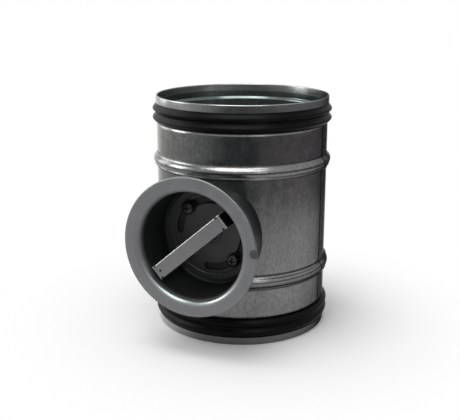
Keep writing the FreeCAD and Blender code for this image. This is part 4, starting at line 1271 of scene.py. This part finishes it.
make_lips("lower_lips", False, "lower_lip_seal")
make_lips("upper_lips", True, "upper_lip_seal")

# %% [markdown]
# ## The cup
# The cup is drawn from one sheet: a flat floor with a hole for the bush, a wall, a wide round
# mouth and a flange whose edge turns back. It is swept like the tube, upright, and then stood on
# the shaft's axis. The photograph shows a small dent near the flange's right edge, so the points
# about it are pushed back by up to half a millimetre. A flat ring has no points between its edges,
# so its line gets one every half millimetre. The floor's two holes take the rivet nuts.

# %% The cup
FLANGE_RADIUS = 47.6
FLANGE_ROUND = 0.6
FLANGE_TURN = 1.8
FLANGE_HALVES = range(85, 94)
NUT_HOLE = 3.6
CUP_FLOOR_CUT = (51, 54)
DENT_WIDTH = 3.2
DENT_DEPTH = 0.5


def cup_line():
    """The cup's middle line, from the bush's hole out to the flange's edge."""
    floor = cup_floor + CUP_SHEET / 2
    corners = [(BUSH_HOLE, floor, 0), (CUP_WALL, floor, CUP_ROUND)]
    corners.append((CUP_WALL, FLANGE_LEVEL, CUP_ROUND))
    corners.extend((half / 2, FLANGE_LEVEL, 0) for half in FLANGE_HALVES)
    corners.append((FLANGE_RADIUS, FLANGE_LEVEL, FLANGE_ROUND))
    corners.append((FLANGE_RADIUS, FLANGE_LEVEL - FLANGE_TURN, 0))
    return rounded(corners)


def dent(piece, centre, reach, depth, direction):
    """Push the points near a centre along a direction, most in the middle."""
    for vertex in piece.data.vertices:
        away = (vertex.co - centre).length / reach
        if away < 1:
            vertex.co += direction * depth * (1 - away**2) ** 2


def lock_place(joint):
    """The place of a screw's axis, with its own Z out of the cup's mouth."""
    across, _, up = JOINTS[joint]["pos_m"]
    return Matrix.Translation((across, 0, up)) @ Matrix.Rotation(math.pi / 2, 4, "X")


UPPER_LOCK = lock_place("upper_screw_turn")
LOWER_LOCK = lock_place("lower_screw_turn")
cup = swept("cup_shell", thickened(cup_line(), CUP_SHEET), DRAWN, CUP_PLACE, steps=360)
cut(cup, [rod(NUT_HOLE, *CUP_FLOOR_CUT, place) for place in (UPPER_LOCK, LOWER_LOCK)])
dent(cup, DENT_CENTRE, DENT_WIDTH * MM, DENT_DEPTH * MM, Vector((0, 1, 0)))
settle(cup, "housing", "cup_steel", "handle_cup")

# %% [markdown]
# ## Screws
# A pan head screw is a lathe section with a cross recess. The recess is cut with a tapered cross,
# wide at the head's face and narrow at its bottom, because the simple straight slots of the CAD
# model would read as a plain cross from close by. The lock screws stand at their own joints and
# the hub screw on the blade's axis. A cross is given by its arms' length and half width and by how
# far its inner corners lie out.

# %% The pan head screws
HEAD_RADIUS = 4.75
HEAD_HEIGHT = 3.2
HEAD_CROWN = 0.3
SHANK_RADIUS = 2.45
RECESS_DROP = 0.1
RECESS_DEPTH = 1.7
RECESS_RISE = 0.4
RECESS_TOP = (2.85, 0.6, 1.1)
RECESS_END = (1.5, 0.36, 0.7)


def cross_ring(arm, width, flare, level):
    """Sixteen points round a cross at one level."""
    quarter = [(arm, width), (flare, width), (width, flare), (width, arm)]
    turns = [Matrix.Rotation(math.pi / 2 * turn, 2) for turn in range(4)]
    flat = [turn @ Vector(point) for turn in turns for point in quarter]
    return [Vector((point.x * MM, point.y * MM, level * MM)) for point in flat]


def cross_cutter(front, place):
    """A tapered cross from above the head's face down to the recess' bottom."""
    low = cross_ring(*RECESS_END, front - RECESS_DEPTH)
    high = cross_ring(*RECESS_TOP, front + RECESS_RISE)
    count = len(low)
    sides = [(k, (k + 1) % count, (k + 1) % count + count, k + count) for k in range(count)]
    ends = [tuple(range(count))[::-1], tuple(range(count, 2 * count))]
    mesh = bpy.data.meshes.new("cutter")
    mesh.from_pydata(low + high, [], sides + ends)
    mesh.transform(place)
    return add_object("cutter", mesh)


def make_screw(name, node, place, body):
    """A pan head screw as long as its CAD node, on the axis that the place gives."""
    back, front = depth_range(node)
    seat = front - HEAD_HEIGHT
    corners = [
        (0, front, 0),
        (HEAD_RADIUS, front - HEAD_CROWN, 2.0),
        (HEAD_RADIUS, seat, 0.15),
        (SHANK_RADIUS, seat, 0.1),
        (SHANK_RADIUS, back, 0.4),
        (0, back, 0),
    ]
    screw = swept(name, rounded(corners), OILED, place, closed=False, steps=96)
    cut(screw, [cross_cutter(front - RECESS_DROP, place)])
    settle(screw, body, "fastener_steel", node)


make_screw("upper_pan_screw", "lock_screw_upper", UPPER_LOCK, "upper_lock")
make_screw("lower_pan_screw", "lock_screw_lower", LOWER_LOCK, "lower_lock")
make_screw("hub_pan_screw", "hub_screw", HANDLE_PLACE, "blade_set")

# %% [markdown]
# ## Rivets
# Rivets come in rows: six in the blade's web, two through the shaft, two under the handle and two
# behind. Each row is one rivet on the points of a grid, so the tree's inputs are the number of
# columns and rows and their steps. A rivet's section is a shank with a domed head at one end or at
# both. It is given by the shank's radius and the two levels between which the rivet holds.

# %% Rivets on grids
HEAD_RATIO = 1.75
DOME_RATIO = 0.42
HEAD_RIM = 0.22
DOME_STEPS = 8
BLADE_RIVET_STEPS = (88, 31)
SHAFT_RIVET_STEP = 54
HANDLE_RIVET_STEP = 53.2


def dome(radius, base, height):
    """Points from the top of a dome on the axis down to its edge. It may point either way."""
    curve = (radius**2 + height**2) / (2 * height)
    turns = [math.asin(radius / curve) * step / DOME_STEPS for step in range(DOME_STEPS + 1)]
    top = base + height
    return [Vector((curve * math.sin(t), top + curve * (math.cos(t) - 1))) for t in turns]


def rivet_section(radius, back, front, both):
    """A shank with a domed head in front, and one behind as well if there are both."""
    head = radius * HEAD_RATIO
    height = head * DOME_RATIO - HEAD_RIM
    points = dome(head, front + HEAD_RIM, height)
    points.extend([Vector((head, front)), Vector((radius, front)), Vector((radius, back))])
    if both:
        points.append(Vector((head, back)))
        points.extend(reversed(dome(head, back - HEAD_RIM, -height)))
    else:
        points.append(Vector((0, back)))
    return points


def make_rows():
    """Copies of a piece in columns and rows about the middle."""
    tree, given, finish = new_tree(
        "pieces_in_rows",
        [
            ("Piece", "Object", None),
            ("Columns", "Int", 2),
            ("Rows", "Int", 1),
            ("Column Step", "Float", 0.01),
            ("Row Step", "Float", 0.01),
            ("Material", "Material", None),
        ],
    )
    sizes = []
    for count, step in (("Columns", "Column Step"), ("Rows", "Row Step")):
        gaps = sum_of(tree, "SUBTRACT", given[count], 1)
        sizes.append(sum_of(tree, "MULTIPLY", gaps, given[step]))
    grid = add_node(
        tree,
        "GeometryNodeMeshGrid",
        {
            "Size X": sizes[0],
            "Size Y": sizes[1],
            "Vertices X": given["Columns"],
            "Vertices Y": given["Rows"],
        },
    )
    piece = add_node(tree, "GeometryNodeObjectInfo", {"Object": given["Piece"]})
    placed = add_node(
        tree,
        "GeometryNodeInstanceOnPoints",
        {"Points": grid.outputs[0], "Instance": piece.outputs["Geometry"]},
    )
    close_tree(tree, placed.outputs[0], given["Material"], finish)
    return tree


ROWS = make_rows()


def make_rivets(row, body, place, section, counts, steps):
    """The rivets of one row, in place of the CAD node of that name."""
    one = swept("one_rivet", section, ZINC, closed=False, steps=48)
    values = {
        "Piece": one,
        "Columns": counts[0],
        "Rows": counts[1],
        "Column Step": steps[0] * MM,
        "Row Step": steps[1] * MM,
        "Material": ZINC,
    }
    rivets = grow(f"{row}_rivet_set", ROWS, values, place)
    bpy.data.objects.remove(one)
    settle(rivets, body, "rivet_steel", f"{row}_rivets")


ACROSS_BLADE = HANDLE_PLACE @ Matrix.Rotation(math.pi / 2, 4, "X")
REAR_TURN = rear_place @ Matrix.Rotation(-LOCK_ANGLE, 4, "Z")
blade_rivet = rivet_section(1.6, -1.7, 1.7, both=True)
shaft_rivet = rivet_section(1.8, -4.95, 4.95, both=True)
foot_rivet = rivet_section(2.0, 53.8, 56.35, both=False)
rear_rivet = rivet_section(1.6, 60.73, 65.5, both=True)
make_rivets("blade", "blade_set", ACROSS_BLADE, blade_rivet, (2, 3), BLADE_RIVET_STEPS)
make_rivets("shaft", "blade_set", ACROSS_BLADE, shaft_rivet, (1, 2), (0, SHAFT_RIVET_STEP))
make_rivets("handle", "blade_set", HANDLE_PLACE, foot_rivet, (2, 1), (HANDLE_RIVET_STEP, 0))
make_rivets("rear", "housing", REAR_TURN, rear_rivet, (2, 1), (2 * REAR_RIVET_CIRCLE, 0))

# %% [markdown]
# ## Rivet nuts
# The lock screws turn in rivet nuts, which are squeezed onto the cup's floor: a flange in front, a
# bulge behind it and a barrel with fine ribs further back. The ribs are one small bar on the
# points of a ring, and the tree joins them to the turned nut.

# %% The knurled nuts
NUT_SECTION = [
    (2.55, 44.0, 0),
    (3.35, 44.0, 0.2),
    (3.35, 48.6, 0.3),
    (4.7, 50.6, 0.5),
    (4.7, 51.98, 0.3),
    (3.5, 52.0, 0),
    (3.5, 52.8, 0),
    (4.5, 52.8, 0.1),
    (4.5, 53.8, 0.3),
    (2.55, 53.8, 0.1),
]


def make_knurls():
    """Bars on the points of a ring, each turned outwards, joined to the turned barrel."""
    tree, given, finish = new_tree(
        "ribs_round_a_barrel",
        [
            ("Barrel", "Object", None),
            ("Ribs", "Int", 24),
            ("Radius", "Float", 0.0033),
            ("Level", "Float", 0.046),
            ("Rib Size", "Vector", (0.0004, 0.0004, 0.003)),
            ("Material", "Material", None),
        ],
    )
    ring = add_node(
        tree,
        "GeometryNodeMeshCircle",
        {"Vertices": given["Ribs"], "Radius": given["Radius"]},
    )
    level = add_node(tree, "ShaderNodeCombineXYZ", {"Z": given["Level"]})
    raised = add_node(
        tree, "GeometryNodeTransform", {0: ring.outputs[0], "Translation": level.outputs[0]}
    )
    place = add_node(tree, "GeometryNodeInputPosition").outputs[0]
    outward = vector_of(tree, "MULTIPLY", place, (1.0, 1.0, 0.0))
    turn = add_node(
        tree,
        "FunctionNodeAlignRotationToVector",
        {"Vector": outward},
        axis="X",
        pivot_axis="Z",
    )
    rib = add_node(tree, "GeometryNodeMeshCube", {"Size": given["Rib Size"]})
    ribs = add_node(
        tree,
        "GeometryNodeInstanceOnPoints",
        {"Points": raised.outputs[0], "Instance": rib.outputs[0], "Rotation": turn.outputs[0]},
    )
    barrel = add_node(tree, "GeometryNodeObjectInfo", {"Object": given["Barrel"]})
    both = add_node(tree, "GeometryNodeJoinGeometry", {0: barrel.outputs["Geometry"]})
    tree.links.new(ribs.outputs[0], both.inputs[0])
    close_tree(tree, both.outputs[0], given["Material"], finish)
    return tree


KNURLS = make_knurls()
for name, node, place in (
    ("upper_knurled_nut", "rivet_nut_upper", UPPER_LOCK),
    ("lower_knurled_nut", "rivet_nut_lower", LOWER_LOCK),
):
    barrel = swept("barrel", rounded(NUT_SECTION), ZINC, steps=64)
    nut = grow(name, KNURLS, {"Barrel": barrel, "Material": ZINC}, place)
    bpy.data.objects.remove(barrel)
    settle(nut, "housing", "fastener_steel", node)

# %% [markdown]
# ## Softer edges on the other parts
# The dial, the handle, the washers, the bushes and the blade keep their CAD shapes. Their exact
# edges would catch no light, so each gets modifiers: flat faces are joined, edges are rounded by a
# tenth to three tenths of a millimetre and normals follow the large faces. They stay live, since
# the CAD mesh itself must not change. The ring seal has no edges to round.

# %% Soft edges


def make_soft_faces():
    """Smooth faces, with sharp edges where two faces meet at more than the angle."""
    tree = bpy.data.node_groups.new("smooth_by_angle", "GeometryNodeTree")
    face = tree.interface
    face.new_socket("Geometry", in_out="INPUT", socket_type="NodeSocketGeometry")
    limit = face.new_socket("Angle", in_out="INPUT", socket_type="NodeSocketFloat")
    limit.default_value = math.radians(32)
    face.new_socket("Geometry", in_out="OUTPUT", socket_type="NodeSocketGeometry")
    given = tree.nodes.new("NodeGroupInput").outputs
    finish = tree.nodes.new("NodeGroupOutput")
    smooth = add_node(tree, "GeometryNodeSetShadeSmooth", {0: given[0]}, domain="FACE")
    angle = add_node(tree, "GeometryNodeInputMeshEdgeAngle")
    soft = add_node(
        tree,
        "FunctionNodeCompare",
        {0: angle.outputs["Unsigned Angle"], 1: given["Angle"]},
        operation="LESS_THAN",
    )
    edges = add_node(
        tree,
        "GeometryNodeSetShadeSmooth",
        {0: smooth.outputs[0], 2: soft.outputs[0]},
        domain="EDGE",
    )
    tree.links.new(edges.outputs[0], finish.inputs[0])
    return tree


SOFT_FACES = make_soft_faces()


def soften(node, width):
    """Modifiers that join a CAD node's loose faces and round its edges by this width."""
    weld = node.modifiers.new("join_points", "WELD")
    weld.merge_threshold = 0.000001
    flat = node.modifiers.new("join_flat_faces", "DECIMATE")
    flat.decimate_type = "DISSOLVE"
    flat.angle_limit = math.radians(0.4)
    if width:
        bevel = node.modifiers.new("round_edges", "BEVEL")
        bevel.width = width * MM
        bevel.segments = 2
        bevel.limit_method = "ANGLE"
        bevel.angle_limit = math.radians(40)
        bevel.use_clamp_overlap = True
    smooth = node.modifiers.new("smooth_faces", "NODES")
    smooth.node_group = SOFT_FACES
    normals = node.modifiers.new("face_normals", "WEIGHTED_NORMAL")
    normals.keep_sharp = True


SOFT_EDGES = {
    "handle_bar": 0.3,
    "dial_disc": 0.16,
    "lock_washer_upper": 0.12,
    "lock_washer_lower": 0.12,
    "hub_washer": 0.12,
    "blade_shaft": 0.15,
    "blade_plate_upper": 0.12,
    "blade_plate_lower": 0.12,
    "front_bush": 0.15,
    "rear_bush": 0.2,
    "rear_cap": 0.2,
    "rear_gasket": 0.15,
    "shaft_ring_seal": 0,
    "shaft_clip": 0.1,
    "blade_seal": 0.2,
}
for name, width in SOFT_EDGES.items():
    soften(frame["nodes"][name], width)
print(f"{len(SOFT_EDGES)} CAD nodes have softer edges")

# %% [markdown]
# ## Finishes on the CAD nodes
# Each subpart of the record names its finish, so the CAD nodes are coloured from it in one loop.
# The nodes that a new piece stands for are hidden by the frame, but they get theirs as well. The
# handle shares the dial's finish in the record and has its own material here, with painted
# highlights on its edges.

# %% Finishes
FINISHES = {
    "galvanised_steel": GALVANISED,
    "cup_steel": DRAWN,
    "dial_steel": DIAL,
    "fastener_steel": OILED,
    "rivet_steel": ZINC,
    "shaft_steel": TURNED,
    "bush_plastic": PLASTIC,
    "black_rubber": RUBBER,
}
OWN_FINISH = {"handle_bar": HANDLE}
for row in frame["record"]["subparts"]:
    node = frame["nodes"][row["node"]]
    finish = OWN_FINISH.get(row["node"], FINISHES[row["material_slot"]])
    node.data.materials.clear()
    node.data.materials.append(finish)
    print(f"{row['node']}: {finish.name}")

# %% [markdown]
# ## World and floor
# The photograph is a plain studio shot on white. The world is white to the camera and in
# reflections, and dimmer as a light, so that the shadows keep some depth. The floor is pale where
# the object stands, which keeps its soft shadow, and fades into the same white further out, so no
# horizon shows. A backdrop that curves up behind the object would hide the horizon too, but it
# would be in the way of a view from behind. Lengths from here on are in metres.

# %% World and floor
DIFFUSE_WORLD = 0.6
FLOOR_HALF = 40.0
FLOOR_TONE = (0.85, 0.85, 0.85)
FADE_START = 0.04
FADE_END = 0.2


def seen_rays(tree):
    """1 for rays from the camera, for reflections and for rays through glass, else 0."""
    path = add_node(tree, "ShaderNodeLightPath").outputs
    seen = sum_of(tree, "ADD", path["Is Camera Ray"], path["Is Glossy Ray"])
    seen = sum_of(tree, "ADD", seen, path["Is Transmission Ray"])
    return sum_of(tree, "MINIMUM", seen, 1.0)


def make_world():
    """White where it is seen, and dimmer as a light."""
    world = bpy.data.worlds.new("studio")
    bpy.context.scene.world = world
    world.use_nodes = True
    tree = world.node_tree
    back = tree.nodes["Background"]
    level = spread(tree, seen_rays(tree), DIFFUSE_WORLD, 1.0)
    back.inputs["Color"].default_value = (1, 1, 1, 1)
    tree.links.new(level, back.inputs["Strength"])


def fade_surface(tree, share, first, second):
    """Show the second shader in place of the first where the share is 1."""
    mixed = add_node(tree, "ShaderNodeMixShader", {0: share, 1: first, 2: second})
    tree.links.new(mixed.outputs[0], tree.nodes["Material Output"].inputs["Surface"])


def stage_piece(name, places, faces, material):
    """A mesh that belongs to the studio and not to the object."""
    mesh = bpy.data.meshes.new(name)
    mesh.from_pydata(places, [], faces)
    mesh.materials.append(material)
    piece = add_object(name, mesh)
    return piece


def floor_material():
    """Plain pale, and going over to pure white in the camera's eye further out."""
    material, tree, shader = new_material("pale_floor", 0.0, FLOOR_TONE)
    shader.inputs["Base Color"].default_value = (*FLOOR_TONE, 1)
    shader.inputs["Roughness"].default_value = 0.9
    far = step_of(tree, measure_of(tree, "LENGTH", object_place(tree)), FADE_START, FADE_END)
    share = sum_of(tree, "MULTIPLY", far, seen_rays(tree))
    white = add_node(tree, "ShaderNodeEmission", {"Color": (1, 1, 1, 1), "Strength": 1.0})
    fade_surface(tree, share, shader.outputs[0], white.outputs[0])
    return made(material)


make_world()
signs = ((-1, -1), (1, -1), (1, 1), (-1, 1))
corners = [(x * FLOOR_HALF, y * FLOOR_HALF, 0) for x, y in signs]
stage_piece("floor", corners, [(0, 1, 2, 3)], floor_material())
bpy.context.scene.view_settings.view_transform = "Standard"

# %% [markdown]
# ## The dim room
# Metal shows what stands round it more than its own colour. The photograph's steel is dark on the
# upper half of the tube and bright on its left, so the studio behind the camera was dim and had a
# window of light on one side. A ring of dim floor and a low wall stand for that room: they begin
# 0.3 m from the axis, out of the picture, only reflections see them, and their tone changes round
# the object. More lamps could not do this, because they only add light.

# %% The dim room
ROOM_STEPS = 96
ROOM_START = 0.31
ROOM_EDGE = 0.43
ROOM_REACH = 1.8
ROOM_LEVEL = 0.002
ROOM_HEIGHT = 0.55
UNSEEN_BY = ("camera", "diffuse", "shadow", "transmission", "volume_scatter")


def room_material():
    """A glow that changes round the object and fades out at the room's inner and upper edge."""
    material, tree, _ = new_material("dim_room", 0.0, (0.1, 0.1, 0.1))
    place = object_place(tree)
    axes = axes_of(tree, place)
    across, back = (sum_of(tree, "MULTIPLY", axes[name], -1.0) for name in ("X", "Y"))
    turn = sum_of(tree, "ARCTAN2", across, back)
    tone = tones(
        tree,
        sum_of(tree, "MULTIPLY_ADD", turn, 0.5 / math.pi, 0.5),
        (0.00, (0.40, 0.40, 0.41)),
        (0.10, (0.25, 0.24, 0.26)),
        (0.30, (0.17, 0.155, 0.165)),
        (0.40, (0.025, 0.045, 0.045)),
        (0.49, (0.025, 0.045, 0.045)),
        (0.60, (0.55, 0.57, 0.56)),
        (0.80, (0.80, 0.80, 0.78)),
        (0.92, (1.60, 1.58, 1.50)),
    )
    glow = add_node(tree, "ShaderNodeEmission", {"Color": tone, "Strength": 1.0})
    clear = add_node(tree, "ShaderNodeBsdfTransparent")
    reach = measure_of(tree, "LENGTH", vector_of(tree, "MULTIPLY", place, (1.0, 1.0, 0.0)))
    inner = step_of(tree, reach, ROOM_START, ROOM_EDGE)
    upper = step_of(tree, axes["Z"], ROOM_HEIGHT, ROOM_HEIGHT * 0.6)
    share = sum_of(tree, "MULTIPLY", inner, upper)
    fade_surface(tree, share, clear.outputs[0], glow.outputs[0])
    return made(material)


def make_room():
    """A ring of floor and a low wall round it, seen by reflections alone."""
    rings = ((ROOM_START, ROOM_LEVEL), (ROOM_REACH, ROOM_LEVEL), (ROOM_REACH, ROOM_HEIGHT))
    turns = [FULL_TURN * step / ROOM_STEPS for step in range(ROOM_STEPS)]
    places = [
        (radius * math.cos(turn), radius * math.sin(turn), level)
        for radius, level in rings
        for turn in turns
    ]
    faces = []
    for low in range(0, len(places) - ROOM_STEPS, ROOM_STEPS):
        high = low + ROOM_STEPS
        for step in range(ROOM_STEPS):
            after = (step + 1) % ROOM_STEPS
            faces.append((low + step, low + after, high + after, high + step))
    room = stage_piece("dim_room", places, faces, room_material())
    for ray in UNSEEN_BY:
        setattr(room, f"visible_{ray}", False)


make_room()

# %% [markdown]
# ## The lamps
# Three boxes light the object: a strong one from above and weak ones from both sides. Two more are
# seen in reflections alone, as the bright lines on the beads and along the bent edges. As plain
# lamps they would bleach the matt surfaces as well. A box's row gives its place, its size, its
# power and whether it lights matt surfaces too.

# %% The lamps
TARGET = Vector((0, 0, 0.085))
LAMPS = {
    "top_box": ((-0.1, -0.2, 1.1), (0.55, 0.55), 5.5, True),
    "left_box": ((-1.1, 0.2, 0.4), (0.4, 0.7), 2.5, True),
    "right_box": ((0.9, -0.9, 0.6), (0.3, 0.5), 0.8, True),
    "front_box": ((0.15, -0.46, 1.05), (0.9, 0.55), 8, False),
    "side_box": ((-1.0, -0.38, 0.52), (0.5, 0.7), 8.5, False),
}


def add_lamp(name, place, size, power, plain_light):
    """A soft box that faces the object. Without plain light, only reflections show it."""
    data = bpy.data.lights.new(name, "AREA")
    data.shape = "RECTANGLE"
    data.size, data.size_y = size
    data.energy = power
    lamp = add_object(name, data)
    lamp.visible_diffuse = plain_light
    lamp.location = place
    lamp.rotation_euler = (TARGET - Vector(place)).to_track_quat("-Z", "Y").to_euler()
    print(f"{name}: {power} W")


for name, row in LAMPS.items():
    add_lamp(name, *row)
